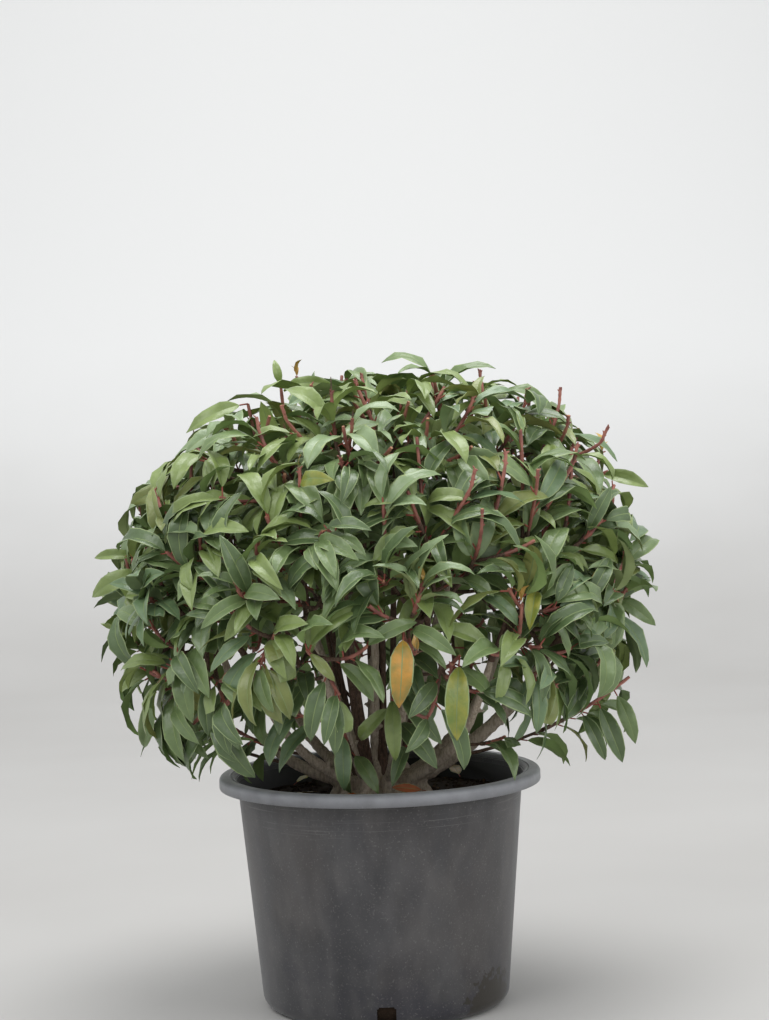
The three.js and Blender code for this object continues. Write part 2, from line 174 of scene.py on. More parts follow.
# The mesh that an object has with its modifiers applied.
def appliedMesh(thing):
    bpy.context.view_layer.update()
    return bpy.data.meshes.new_from_object(thing.evaluated_get(bpy.context.evaluated_depsgraph_get()))


def placePiece(name, mesh, materials, slotName, *replaced, sharpAngle=None):
    for material in materials:
        mesh.materials.append(material)
    mesh.shade_smooth()
    if sharpAngle:
        mesh.set_sharp_from_angle(angle=math.radians(sharpAngle))
    piece = newObject(name, mesh)
    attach(piece, "root")
    if replaced:
        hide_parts(*replaced)
    return piece


# Shapes gathered into one joined mesh, each face with the number of its finish.
class Heap:
    def __init__(self):
        self.points = []
        self.faces = []
        self.finishes = []
        self.count = 0

    def add(self, points, faces, finish=0):
        self.points.append(np.asarray(points, float))
        self.faces += [[corner + self.count for corner in face] for face in faces]
        self.finishes += [finish] * len(faces) if isinstance(finish, int) else list(finish)
        self.count += len(points)

    def mesh(self, name):
        return newMesh(name, (np.concatenate(self.points) / 1000).tolist(), self.faces)

    def build(self, name, materials, slotName, *replaced, sharpAngle):
        mesh = self.mesh(name)
        mesh.polygons.foreach_set("material_index", self.finishes)
        return placePiece(name, mesh, materials, slotName, *replaced, sharpAngle=sharpAngle)


# Camera

camera = {
    "place": (0.0148, -2.80, 0.688),
    "lookDown": 2.6,  # degrees
    "roll": -1.8,  # degrees: the photograph leans a little to the left
    "lens": 87.2,
    "sensorWidth": 36,
}


def makeCamera():
    data = bpy.data.cameras.new("camera")
    data.lens = camera["lens"]
    data.sensor_width = camera["sensorWidth"]
    eye = newObject("camera", data)
    turn = Matrix.Rotation(math.radians(90 - camera["lookDown"]), 4, "X")
    roll = Matrix.Rotation(math.radians(camera["roll"]), 4, "Z")
    eye.matrix_world = Matrix.Translation(camera["place"]) @ turn @ roll
    bpy.context.scene.camera = eye


makeCamera()

# Pale floor that sweeps up into a wall, and soft studio light

studio = {
    "halfWidth": 7,
    "front": -7,
    "sweepStart": 2.9,  # metres behind the pot where the floor begins to rise
    "sweepRadius": 2.9,
    "sweepSteps": 24,
    "wallHeight": 6,
    "wallPaper": "#e2e2e1",
    # The floor's greyer tone is painted shade.
    "shadedFloorTone": "#b4b2af",
    "floorShadeBlend": (-300, 900),  # heights in millimetres between which the floor's painted shade turns to the wall's tone
    "cloudSize": 500,
    "unevenness": 240,  # millimetres that the clouds shift the blend by
    "sky": "#f2f4f6",
    "skyStrength": 0.88,
    # name, place, what it points at, size and power in watts
    "lamps": [
        ("keySoftbox", (-1.5, -2.1, 2.7), (0, 0, 0.45), 1.8, 27),
        ("fillSoftbox", (2.2, -1.9, 1.5), (0, 0, 0.4), 1.6, 14),
        ("topSoftbox", (0.2, 0.1, 2.6), (0, 0, 0.4), 1.6, 35),
        ("wallSoftbox", (0, 2.6, 3.6), (0, 5.8, 1.7), 3, 48),
    ],
}


# Seamless studio paper: matt and pale, with a painted shade that greys the floor and grades up into the wall,
# and the softest unevenness of tone.
def makePaper():
    material, tree, shader, place = newMaterial("mattStudioPaper", 0.9, 1.45, 0.2)
    height = addNode(tree, "SeparateXYZ", {"Vector": place}, output="Z")
    cloud = addNode(tree, "TexNoise", {"Vector": place, "Scale": 1 / studio["cloudSize"], "Detail": 2})
    uneven = addNode(tree, "Math", {0: cloud, 1: studio["unevenness"], 2: height}, productPlus)
    low, high = (edge + studio["unevenness"] / 2 for edge in studio["floorShadeBlend"])
    # Where the floor's painted shade gives way to the wall's pale tone.
    rise = addNode(tree, "MapRange", {"Value": uneven, **ranges(low, high)}, smooth)
    setInputs(shader, {"Base Color": layered(tree, studio["shadedFloorTone"], [(rise, studio["wallPaper"])])})
    return material


def makeStudio():
    start, radius, height = studio["sweepStart"], studio["sweepRadius"], studio["wallHeight"]
    turns = np.linspace(0, math.pi / 2, studio["sweepSteps"])
    sweep = [(start + radius * math.sin(t), radius * (1 - math.cos(t))) for t in turns]
    outline = [(studio["front"], 0), *sweep, (start + radius, height)]
    points = [(x, y, z) for y, z in outline for x in (-studio["halfWidth"], studio["halfWidth"])]
    faces = [(2 * i, 2 * i + 1, 2 * i + 3, 2 * i + 2) for i in range(len(outline) - 1)]
    mesh = newMesh("studioPaper", points, faces)
    mesh.materials.append(makePaper())
    mesh.shade_smooth()
    newObject("studioPaper", mesh)
    for name, place, target, size, power in studio["lamps"]:
        data = bpy.data.lights.new(name, "AREA")
        data.shape = "DISK"
        data.size = size
        data.energy = power
        lamp = newObject(name, data)
        lamp.location = place
        lamp.rotation_euler = (Vector(target) - Vector(place)).to_track_quat("-Z", "Y").to_euler()
    world = bpy.data.worlds.new("studioSky")
    world.use_nodes = True
    glow = world.node_tree.nodes["Background"]
    setInputs(glow, {"Color": linear(studio["sky"]), "Strength": studio["skyStrength"]})
    bpy.context.scene.world = world
    bpy.context.scene.view_settings.view_transform = "Standard"


makeStudio()
print("camera and studio")

# Sizes that the frame gives, in millimetres

potRadius = mm(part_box("pot")[1].x)
potHeight = mm(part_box("pot")[1].z)
soilTop = mm(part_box("soil")[1].z)
soilFoot = mm(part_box("soil")[0].z)
trunkTop = mm(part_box("trunk")[1].z)
trunkRadius = mm(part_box("trunk")[1].x)

# The growth rule: crown, boughs, masses and shoots as in the part's source

crown = {
    "middle": 470,  # the widest level
    "halfWidth": 326,
    "upward": 262,
    "downward": 303,
    "lean": 34,  # the top stands this far towards +X
    "fullness": 2.3,
    "skirtSide": 256,
    "skirtFront": 318,
}

# Name, azimuth, reach of the tip, its height, how soon it bows out, and its foot's width.
boughs = [
    ("right", -6, 196, 392, 0.62, 21),
    ("right_back", 31, 168, 400, 0.7, 15),
    ("back_right", 66, 160, 424, 0.66, 14),
    ("back_left", 104, 158, 420, 0.7, 13),
    ("left_back", 140, 166, 404, 0.72, 15),
    ("left", 176, 176, 402, 0.84, 16),
    ("left_front", 212, 164, 398, 0.7, 14),
    ("front_left", 247, 156, 428, 0.62, 13),
    ("front_right", 284, 158, 426, 0.66, 14),
    ("right_front", 320, 170, 398, 0.7, 15),
    ("top_right", 14, 92, 500, 0.5, 17),
    ("top_back", 96, 66, 506, 0.45, 14),
    ("top_left", 168, 88, 492, 0.55, 16),
    ("top_front", 262, 62, 500, 0.4, 13),
]

boughNodes = ["bough_" + bough[0] for bough in boughs]
foliageNodes = ["foliage_" + bough[0] for bough in boughs]

limb = {
    "topRise": 470,  # a bough that ends higher carries a mass of the crown's top
    "outerFoot": (27, 14),  # distance from the middle and height over the compost
    "innerFoot": (12, 24),
    "tipShare": 0.52,
    "bendRise": 0.6,
    "sway": 7,
    "swayTurns": 5,
    "steps": 44,
    "seed": 100,
}

mass = {
    "ringRadius": 236,
    "ringHeight": 440,
    "frontLift": 22,
    "topRadius": 98,
    "topHeight": 612,
    "stemReach": 0.85,
    "stemBend": 0.45,
    "stemFoot": 1.04,  # thickness of the stem's foot, as a share of the bough's tip
    "stemTip": 0.7,
    "firstShoot": 0.2,
    "lastShoot": 0.95,
}

shoot = {
    "count": 92,
    "inset": 50,
    "topRise": 22,
    "lowest": -0.62,
    "overSkirt": 45,
    "jitter": 0.15,
    "innerEvery": 5,
    "innerShare": 0.76,
    "bendAt": 0.55,
    "bow": 0.1,
    "dips": (0.16, 0.02),
    "width": 5.6,
    "tipWidth": 4,
    "tries": 8,
    "tryStep": 0.382,
    "seed": 500,
}


def around(radius, azimuth, height):
    return Vector((radius * math.cos(azimuth), radius * math.sin(azimuth), height))


# The part's own random numbers, from 0 to 1, so that both grow alike.
def seeded(seed):
    state = [seed]
    full = 0xFFFFFFFF

    def draw():
        state[0] = (state[0] + 0x6D2B79F5) & full
        t = state[0]
        t = (t ^ (t >> 15)) * (t | 1) & full
        t ^= (t + ((t ^ (t >> 7)) * (t | 61) & full)) & full
        return (t ^ (t >> 14)) / 2**32

    return draw


# The point and the heading at a share of the way along a curve with one bend.
def along(curve, t):
    start, bend, end = curve
    first, second = start.lerp(bend, t), bend.lerp(end, t)
    return first.lerp(second, t), (second - first).normalized()


def isTop(bough):
    return bough[3] > limb["topRise"]


def boughLine(index):
    _, degrees, reach, rise, bow, foot = boughs[index]
    azimuth = math.radians(degrees)
    radius, height = limb["innerFoot"] if isTop(boughs[index]) else limb["outerFoot"]
    start = around(radius, azimuth, soilTop + height)
    tip = around(reach, azimuth, rise)
    bend = around(bow * reach, azimuth, mixed(start.z, tip.z, (1 - bow) * limb["bendRise"]))
    across = around(1, azimuth + math.pi / 2, 0)
    phase = fullTurn * seeded(limb["seed"] + index)()
    points, radii = [], []
    for t in np.linspace(0, 1, limb["steps"] + 1):
        sway = limb["sway"] * t * math.sin(phase + limb["swayTurns"] * t)
        points.append(along((start, bend, tip), t)[0] + across * sway)
        radii.append(foot / 2 * (1 + (limb["tipShare"] - 1) * t))
    return points, radii


def massMiddle(bough):
    azimuth = math.radians(bough[1])
    if isTop(bough):
        return around(mass["topRadius"], azimuth, mass["topHeight"]) + Vector((crown["lean"] / 2, 0, 0))
    height = mass["ringHeight"] + mass["frontLift"] * math.sin(azimuth) ** 2
    return around(mass["ringRadius"], azimuth, height)


def leanAt(height):
    return crown["lean"] * max(0, height - crown["middle"]) / crown["upward"]


# Where a point lies in the crown: 1 on its surface, less inside.
def crownShare(p):
    rise = p.z - crown["middle"]
    flat = math.hypot(p.x - leanAt(p.z), p.y) / crown["halfWidth"]
    if rise < 0:
        return math.hypot(flat, rise / crown["downward"])
    power = crown["fullness"]
    return (flat**power + (rise / crown["upward"]) ** power) ** (1 / power)


def skirtHeight(p):
    sideness = p.x**2 / max(1, p.x**2 + p.y**2)
    return mixed(crown["skirtFront"], crown["skirtSide"], sideness)


def nearPot(p, margin):
    return math.hypot(p.x, p.y) < potRadius + margin and p.z < potHeight + margin


def outwardAt(p):
    wide, high = crown["halfWidth"], crown["upward"]
    return Vector((p.x / wide, p.y / wide, (p.z - crown["middle"]) / high)).normalized()


# The tips of the shoots: an even spiral over the crown, with every few of them deeper inside it.
def shootTips():
    tips = []
    for i in range(shoot["count"]):
        level = 1 - (i + 0.5) / shoot["count"] * (1 - shoot["lowest"])
        azimuth = i * goldenAngle + shoot["jitter"] * (seeded(shoot["seed"] + i)() - 0.5)
        power = crown["fullness"] if level > 0 else 2
        half = crown["upward"] if level > 0 else crown["downward"]
        inset = shoot["inset"] - shoot["topRise"] * max(0, level)
        depth = shoot["innerShare"] if i % shoot["innerEvery"] == shoot["innerEvery"] - 1 else 1
        flat = (1 - abs(level) ** power) ** (1 / power) * (crown["halfWidth"] - inset) * depth
        tip = around(flat, azimuth, crown["middle"] + level * (half - inset) * depth)
        tip.x += leanAt(tip.z)
        if tip.z > skirtHeight(tip) + shoot["overSkirt"]:
            tips.append((tip, i))
    return tips


limbs = [boughLine(i) for i in range(len(boughs))]
middles = [massMiddle(bough) for bough in boughs]
beads = np.array([[*p, r] for points, radii in limbs for p, r in zip(points, radii)])


# How far a point stands clear of the nearest bough's bark.
def clearOfBoughs(p):
    gaps = np.linalg.norm(beads[:, :3] - np.array(p), axis=1) - beads[:, 3]
    return gaps.min()


# The stem of a mass runs on from its bough's tip towards the mass's middle.
def massStem(index):
    points, _ = limbs[index]
    heading = (points[-1] - points[-3]).normalized()
    bend = points[-1] + heading * mass["stemBend"] * (middles[index] - points[-1]).length
    return points[-1], bend, points[-1].lerp(middles[index], mass["stemReach"])


# The first way from the stem to the tip that keeps clear of the boughs.
def shootCurve(stem, tip, share):
    for attempt in range(shoot["tries"]):
        leaveAt = (share + attempt * shoot["tryStep"]) % 1
        base, _ = along(stem, mixed(mass["firstShoot"], mass["lastShoot"], leaveAt))
        span = (tip - base).length
        dip = shoot["dips"][0 if attempt < shoot["tries"] / 2 else 1]
        bend = base.lerp(tip, shoot["bendAt"]) + outwardAt(tip) * shoot["bow"] * span - up * dip * span
        curve = (base, bend, tip)
        if all(clearOfBoughs(along(curve, t)[0]) > shoot["width"] for t in np.linspace(0.2, 1, 9)):
            return curve
    return None


# A closed tube with a ring of the given radius square to the way at each point.
def tube(points, radii, sides, roughen=None):
    way = np.array([tuple(p) for p in points])
    tangents = np.gradient(way, axis=0)
    tangents /= np.linalg.norm(tangents, axis=1)[:, None]
    turns = fullTurn * np.arange(sides) / sides
    side = np.array((0.0, 0.0, 1.0)) if abs(tangents[0][2]) < 0.9 else np.array((1.0, 0.0, 0.0))
    rings = []
    for i, (place, tangent, radius) in enumerate(zip(way, tangents, radii)):
        side = side - tangent * side.dot(tangent)
        side /= np.linalg.norm(side)
        reach = radius if roughen is None else radius * roughen[i]
        spokes = np.cos(turns)[:, None] * side + np.sin(turns)[:, None] * np.cross(tangent, side)
        rings.append(place + np.reshape(reach, (-1, 1)) * spokes)
    return np.concatenate(rings), loftFaces(len(way), sides)


# The faces between rings of corners, and the two that close the ends.
def loftFaces(rings, sides):
    faces = []
    for ring in range(rings - 1):
        for k in range(sides):
            near, far = ring * sides + k, ring * sides + (k + 1) % sides
            faces.append([near, far, far + sides, near + sides])
    last = (rings - 1) * sides
    return faces + [list(range(sides))[::-1], list(range(last, last + sides))]


# Bark

bark = {
    "voxel": 1.6,  # millimetres: stool and boughs are fused to one skin at this size
    "soften": 3,  # rounds of smoothing
    "sides": 18,
    "footSwell": 0.14,  # extra thickness where a bough leaves the stool
    "footLength": 0.07,
    "knots": 6,
    "knotSwell": 0.13,  # how far the knots stand out, as a share of the bough's thickness
    "knotLength": 0.022,
    "knotSpan": (0.12, 0.95),  # shares of the bough that they lie between
    "knotVary": (0.4, 1),
    "waves": 0.035,
    "ridges": (0.55, (3.4, 3.4, 15)),  # depth and size of the lengthwise ridges
    "pits": (0.35, (5, 5, 4)),
    "stubs": 22,  # short cut ends of old side branches
    "stubReach": (3, 9),  # millimetres past the bark
    "stubWidth": (0.35, 0.6),  # share of the bough's
    "stubSpan": (0.2, 0.9),
    "stubLean": 0.7,
    "patchSize": 22,
    "ridgeSize": 2.2,
    "ridgeStretch": 0.3,  # seen along the stem
    "poreSize": 4.5,
    "poreStretch": 2.4,
    "furrowShade": (0.35, 0.6, 0.75, 0),  # noise from and to, and how strongly the painted shade in the furrows covers there
    "pores": (0.1, 0.22, 0.8, 0),
    "relief": (4, 0.7, 0.0008),  # detail, strength, and depth in metres
    "ior": 1.45,
    "specular": 0.3,
    "colours": ("#b3a595", "#c9bbaa", "#8a7b6c", "#d5c9b9"),  # base, light patches, painted shade in the furrows, and pores
    "roughness": 0.82,
    # base, light patches, painted shade in the furrows, and pores, as on the boughs
    "twigColours": ("#5d4a3f", "#735c4e", "#3f322b", "#8a7565"),
    "twigRoughness": 0.75,
}

stool = {
    "sides": 40,
    "profile": [(-0.1, 0.72), (0.1, 0.62), (0.3, 0.5), (0.5, 0.4), (0.7, 0.32), (0.88, 0.24), (1.0, 0.14)],
    "unevenness": 0.03,
    "rootReach": 0.8,  # share of the stool's foot at which each bough's root runs into the compost
    "rootDepth": 4,
    "rootRise": 3,
    "rootWidths": (0.9, 0.95, 0.9),
    "rootSides": 14,
}


# Laurel bark: thin grey-brown skin on living wood, smooth from afar, with long ridges, painted shade in the
# furrows between them, and pale pores.
def makeLaurelBark(name, colours, roughness):
    material, tree, shader, place = newMaterial(name, roughness, bark["ior"], bark["specular"])
    stretched, squat = (addNode(tree, "Mapping", {"Vector": place, "Scale": (1, 1, bark[stretch])})
                        for stretch in ("ridgeStretch", "poreStretch"))
    patches = clouds(tree, place, bark["patchSize"], 5)
    # The dark tone lies where the ridges' relief is low: painted shade in the furrows.
    furrowShade = clouds(tree, stretched, bark["ridgeSize"], 4, bark["furrowShade"])
    spots = addNode(tree, "TexVoronoi", {"Vector": squat, "Scale": 1 / bark["poreSize"]})
    pores = addNode(tree, "MapRange", {"Value": spots, **ranges(*bark["pores"])})
    base, light, dark, pale = colours
    setInputs(shader, {"Base Color": layered(tree, base, [(patches, light), (furrowShade, dark), (pores, pale)])})
    addRelief(shader, stretched, bark["ridgeSize"], *bark["relief"])
    return material


# Each bough swells at its foot and at a few knots.
def boughTube(index):
    points, radii = limbs[index]
    random = dice("boughs", index)
    shares = np.linspace(0, 1, len(points))
    thickness = 1 + bark["footSwell"] * np.exp(-shares / bark["footLength"])
    for knot in random.uniform(*bark["knotSpan"], bark["knots"]):
        swell = bark["knotSwell"] * random.uniform(*bark["knotVary"])
        thickness += swell * np.exp(-(((shares - knot) / bark["knotLength"]) ** 2))
    waves = random.normal(0, bark["waves"], (len(points), bark["sides"]))
    return tube(points, np.array(radii) * thickness, bark["sides"], 1 + waves)


# The stool's core, and a root that bulges from its foot into each bough.
def stoolTubes():
    levels, shares = zip(*stool["profile"])
    core = [Vector((0, 0, soilTop + (trunkTop - soilTop) * level)) for level in levels]
    rough = dice("stool").normal(1, stool["unevenness"], (len(core), stool["sides"]))
    tubes = [tube(core, trunkRadius * np.array(shares), stool["sides"], rough)]
    for points, radii in limbs:
        azimuth = math.atan2(points[3].y, points[3].x)
        foot = around(trunkRadius * stool["rootReach"], azimuth, soilTop - stool["rootDepth"])
        root = [foot, foot.lerp(points[2], 0.5) + up * stool["rootRise"], points[5]]
        tubes.append(tube(root, [radii[0] * share for share in stool["rootWidths"]], stool["rootSides"]))
    return tubes


def stubTubes():
    random = dice("stubs")
    tubes = []
    for _ in range(bark["stubs"]):
        points, radii = limbs[random.integers(len(limbs))]
        i = int(random.uniform(*bark["stubSpan"]) * len(points))
        heading = (points[i + 1] - points[i - 1]).normalized()
        side = heading.cross(Vector(random.normal(0, 1, 3))).normalized()
        way = (side + heading * bark["stubLean"]).normalized()
        reach = radii[i] + random.uniform(*bark["stubReach"])
        width = radii[i] * random.uniform(*bark["stubWidth"])
        tubes.append(tube([points[i] + way * reach * share for share in (0, 0.6, 1)], [width] * 3, 10))
    return tubes


# One vector for each corner of a mesh: its place or its normal.
def cornerVectors(mesh, name):
    values = np.zeros(len(mesh.vertices) * 3)
    mesh.vertices.foreach_get(name, values)
    return values.reshape(-1, 3)


def makeBark():
    heap = Heap()
    for shape in [*stoolTubes(), *(boughTube(i) for i in range(len(limbs))), *stubTubes()]:
        heap.add(*shape)
    draft = newObject("barkDraft", heap.mesh("barkDraft"))
    fuse = draft.modifiers.new("fuse", "REMESH")
    fuse.mode = "VOXEL"
    fuse.voxel_size = bark["voxel"] / 1000
    soften = draft.modifiers.new("soften", "SMOOTH")
    soften.factor = 0.5
    soften.iterations = bark["soften"]
    fused = appliedMesh(draft)
    bpy.data.objects.remove(draft)
    fused.name = "bark"
    places, normals = cornerVectors(fused, "co"), cornerVectors(fused, "normal")
    depth = 0
    for height, size in (bark["ridges"], bark["pits"]):
        depth = depth + height * np.array([noise.noise(Vector(p / size)) for p in places * 1000])
    fused.vertices.foreach_set("co", (places + normals * depth[:, None] / 1000).ravel())
    skin = makeLaurelBark("laurelBark", bark["colours"], bark["roughness"])
    placePiece("bark", fused, [skin], "bark", "trunk", *boughNodes)
    print("bark", len(fused.polygons), "faces")


makeBark()

# Twigs: each mass's stem, the shoots that leave it, and the young red shoots that each shoot forks into

fork = {
    "share": 0.6,  # where along a shoot its old wood ends
    "step": 0.07,  # how much earlier each further young shoot leaves it
    "young": 3,  # young shoots from each fork
    "turnVary": 0.35,
    "fan": 42,  # millimetres from the shoot's own tip to theirs
    "fanVary": 0.35,
    "push": 8,  # how far nearer to the crown's surface the young tips are
    "pushVary": (-12, 8),
    "bendAt": 0.55,
    "ahead": 0.12,
    "upturn": 0.16,
    "width": 4.6,
    "tipWidth": 3.6,
    "sides": 7,
    "rings": 15,
    "scars": (0.95, 1.16),  # thickness between the leaf scars and at them
    "redFrom": 0.4,  # share of a young shoot where the brown bark gives way to this year's red skin
    "limit": 0.85,  # the young tips are drawn in to this share of the crown
    "topLimit": 0.955,
    "pull": 0.06,
    "pulls": 12,
    "overSkirt": 20,
    "offPot": 25,
}

leafy = {
    "perShoot": 9,
    "firstAt": 0.12,
    "lastAt": 1,
    "spread": 0.9,  # radians between a leaf and its shoot
    "lowerSpread": 0.4,  # how much wider it is at the foot of the shoot
    "spreadVary": 0.25,
    "hang": (0.32, 0.45, 0.95),  # how far weight pulls a leaf down at the crown's top, middle and bottom
    "hangVary": 0.28,
    "lowHang": 0.5,  # how much more the leaves of the low shoots hang
    "faceOut": (0.1, 0.55, 1.2),  # how far its upper face turns outward there
    "outward": 0.75,
    "roll": 0.32,  # radians that a leaf may lie turned about its own length
    "openFrom": 185,  # millimetres over the skirt where the leaves begin to stand sparser
    "lowShare": 0.1,  # of the leaves are left at the skirt itself
    "openCurve": 1.5,
    "length": 73,  # petiole and blade
    "vary": 0.2,
    "tipShrink": 0.12,  # leaves at a shoot's tip are this much shorter
    "room": 6.5,  # millimetres between the midribs of neighbouring leaves
    "spots": ((0.35, 0.15), (0.6, 0.16), (0.85, 0.08), (1, 0)),  # shares along an arched midrib, and its rise
    "tries": 10,
    "tryTurn": 0.9,
    "tryTuck": 0.12,
    "edge": (0.9, 1.02),  # share of the crown that the leaf tips of one shoot stay inside
    "lowEdge": 1.04,
    "sideAt": 200,  # millimetres from the middle where the tucks at the sides are full
    "leftTuck": 0.07,  # the lower left of the crown is a little slimmer
    "rightTuck": 0.035,  # and its right side
    "shoulderTuck": 0.05,  # and so are its shoulders, half way to the top
    "offBark": 5,
    "offPot": 6,
    "underSkirt": 14,
    "overSoil": 14,
    "overRim": 5,
    "rimBand": (10, 20),  # middle of the rim, in from the pot's radius, and how far from it leaves stay
}

stick = {
    "share": 0.4,  # of the young shoots end in a bare stick, cut square
    "length": (5, 24),
    "shortest": 4,
    "highest": 716,  # millimetres: the shears went over the top at this height
    "upright": 0.45,
    "steps": (0.15, 0.3, 0.45, 0.6, 0.75, 0.88, 1),
    "thickness": (0.98, 1.16),  # by turns, as shares of the shoot's tip
    "buds": 0.6,  # of the steps have a bud
    "bud": 2.6,
    "budLean": 0.9,
    "budRadii": (1, 0.9, 0.3),
    "snags": 0.1,  # of them with a dead brown point
    "snagLength": (9, 16),
    "snagRadii": (1.1, 0.8, 0.5),
    "leaflets": 0.22,  # of them with new leaves just opening
}

innerStem = {
    "footReach": 0.3,  # share of the stool's radius
    "footRise": 12,
    "bow": 0.75,  # share of the reach at half the height
    "forkAt": (0.5, 0.8),  # bend and tip of the shoot that runs on, as shares of the stem's upper half
}

lowShoot = {
    "bendAt": 0.55,
    "sag": 0.14,
    "widths": (4.2, 3.4),
    "oldShare": 0.5,
    "redFrom": 0.48,
}

# Where the numbers begin of the stems and shoots that don't belong to a mass. They seed the random draws.
firstNumber = {
    "innerFork": 300,
    "placedShoot": 400,
    "innerStem": 900,
    "placedTwig": 950,
    "placedSpray": 1200,
}

# Thin stems from the stool between the boughs: azimuth, reach, height of the tip, and width at the foot.
innerStems = [
    (20, 62, 466, 8),
    (58, 92, 440, 7),
    (100, 50, 478, 8),
    (128, 98, 436, 7),
    (160, 60, 470, 9),
    (196, 104, 432, 8),
    (226, 56, 462, 9),
    (252, 92, 446, 7),
    (276, 26, 486, 10),
    (304, 84, 440, 8),
    (342, 66, 458, 8),
    (40, 34, 560, 8),
    (165, 48, 556, 8),
    (285, 40, 566, 8),
]

# Shoots at set places, most of them under the crown and two on top: bough, share of the way along it, tip,
# number of leaves and their kind. Those in front stand where the photograph shows them.
placedShoots = [
    ("front_left", 0.34, (-38, -118, 330), 2, "mid"),
    ("front_right", 0.55, (17, -138, 368), 2, "fresh"),
    ("front_right", 0.36, (42, -100, 324), 1, "deep"),
    ("right_front", 0.5, (140, -98, 312), 5, "deep"),
    ("right", 0.3, (287, -6, 363), 13, "mid"),
    ("left_front", 0.45, (-162, -34, 322), 5, "mid"),
    ("left", 0.5, (-184, -8, 334), 4, "deep"),
    ("front_right", 0.97, (30, -262, 446), 2, "mid"),
    ("front_right", 0.88, (88, -246, 418), 2, "mid"),
    ("left", 0.34, (-232, 24, 330), 6, "deep"),
    ("front_left", 0.62, (-92, -128, 350), 2, "grey"),
    ("front_left", 0.85, (-96, -196, 402), 6, "deep"),
    ("left_front", 0.75, (-134, -116, 394), 7, "mid"),
    ("front_right", 0.75, (26, -176, 412), 5, "deep"),
    ("back_left", 0.6, (-62, 112, 384), 9, "deep"),
    ("left_back", 0.6, (-124, 88, 376), 9, "deep"),
    ("back_right", 0.6, (36, 122, 384), 9, "deep"),
    ("right_back", 0.6, (112, 92, 386), 8, "deep"),
    ("top_left", 0.9, (-136, -2, 686), 6, "fresh"),
    ("top_left", 0.8, (-98, -4, 704), 5, "fresh"),
]

# Single leaves that stand out in the photograph: root, tip and kind.
namedLeaves = [
    ((30, -264, 442), (27, -270, 368), "orange"),
    ((90, -246, 410), (77, -256, 330), "turning"),
    ((-46, -256, 462), (-44, -268, 396), "olive"),
    ((-72, -262, 600), (-30, -284, 606), "turning"),
    ((-38, -119, 328), (-40, -124, 262), "grey"),
    ((16, -139, 366), (15, -144, 296), "fresh"),
    ((185, -200, 483), (160, -230, 438), "turning"),
    ((-238, 0, 530), (-315, 0, 512), "fresh"),
    ((-252, 0, 500), (-316, 0, 468), "fresh"),
    ((-148, 0, 672), (-207, -10, 655), "fresh"),
    ((-210, 0, 592), (-272, 0, 569), "olive"),
    ((250, 0, 614), (314, 0, 572), "fresh"),
    ((256, 0, 460), (315, 0, 416), "mid"),
    ((276, -6, 343), (293, -10, 288), "mid"),
    ((248, -8, 321), (273, -14, 266), "deep"),
    ((232, -8, 306), (252, -14, 268), "deep"),
    ((-250, 0, 390), (-290, 0, 363), "fresh"),
    ((-246, 0, 356), (-262, 0, 300), "mid"),
    ((-103, 0, 698), (-106, 0, 734), "fresh"),
    ((-96, 0, 704), (-40, 0, 700), "fresh"),
]


def crownLevel(p):
    return (p.z - crown["middle"]) / crown["upward"]


# The young shoots of one fork fan out round the shoot's own tip.
def youngCurves(curve, index):
    random = dice("youngTips", index)
    tip = curve[2]
    outward = outwardAt(tip)
    sideways = outward.cross(up).normalized() if abs(outward.z) < 0.98 else Vector((1, 0, 0))
    other = outward.cross(sideways)
    turn = random.uniform(0, fullTurn)
    found = []
    for k in range(fork["young"]):
        base, heading = along(curve, fork["share"] - fork["step"] * k)
        angle = turn + fullTurn * k / fork["young"] + random.uniform(-fork["turnVary"], fork["turnVary"])
        fan = varied(random, fork["fan"], fork["fanVary"])
        end = tip + (sideways * math.cos(angle) + other * math.sin(angle)) * fan
        end += outward * (fork["push"] + random.uniform(*fork["pushVary"]))
        limit = mixed(fork["limit"], fork["topLimit"], clamped(crownLevel(end)))
        for _ in range(fork["pulls"]):
            if crownShare(end) > limit:
                end = end.lerp(base, fork["pull"])
        if end.z >= skirtHeight(end) + fork["overSkirt"] and not nearPot(end, fork["offPot"]):
            span = (end - base).length
            bend = base.lerp(end, fork["bendAt"])
            bend = bend + heading * fork["ahead"] * span - up * fork["upturn"] * span
            found.append((base, bend, end))
    return found


# Young laurel wood: this year's shoots in red-purple skin, waxy and half glossy, with raised leaf scars.
redShoot = {"roughness": 0.42, "ior": 1.45, "specular": 0.5, "patches": (14, 3, (0.35, 0.68)),
            "tones": ("#7a4842", "#ad7163"), "relief": (1.4, 2, 0.4, 0.0003)}

# Fresh-cut wood at the pruned ends: pale, matt and fibrous.
cutWood = {
    "roughness": 0.8,
    "ior": 1.45,
    "specular": 0.3,
    "patches": (1.5, 2),
    "tones": ("#b98f6f", "#8f6650"),
}


# Low leaves may hang into the pot's mouth, but keep clear of its rim and of the compost.
def hitsPot(p):
    inset, band = leafy["rimBand"]
    isOverRim = abs(math.hypot(p.x, p.y) - potRadius + inset) < band and p.z < potHeight + leafy["overRim"]
    return p.z < soilTop + leafy["overSoil"] or isOverRim


# A value for the crown's top, middle and bottom, taken at a height between them.
def atLevel(values, p):
    level = max(-1, min(1, crownLevel(p) * (1 if p.z > crown["middle"] else 2)))
    return mixed(values[1], values[0], level) if level > 0 else mixed(values[1], values[2], -level)


# How far out the leaf tips of a shoot may reach, as a share of the crown.
def edgeOf(tip, random):
    low = clamped(-1.5 * crownLevel(tip))
    left, right = clamped(-tip.x / leafy["sideAt"]), clamped(tip.x / leafy["sideAt"])
    shoulder = math.sin(math.pi * clamped(crownLevel(tip) - 0.05))
    tuck = leafy["leftTuck"] * left * max(0.3, low) + leafy["rightTuck"] * right
    tuck += leafy["shoulderTuck"] * shoulder
    return random.uniform(*leafy["edge"]) - tuck


taken = {}  # points on the midribs of the leaves placed so far, by the cell of space that they lie in


def cellOf(p):
    return tuple(int(c // leafy["room"]) for c in p)


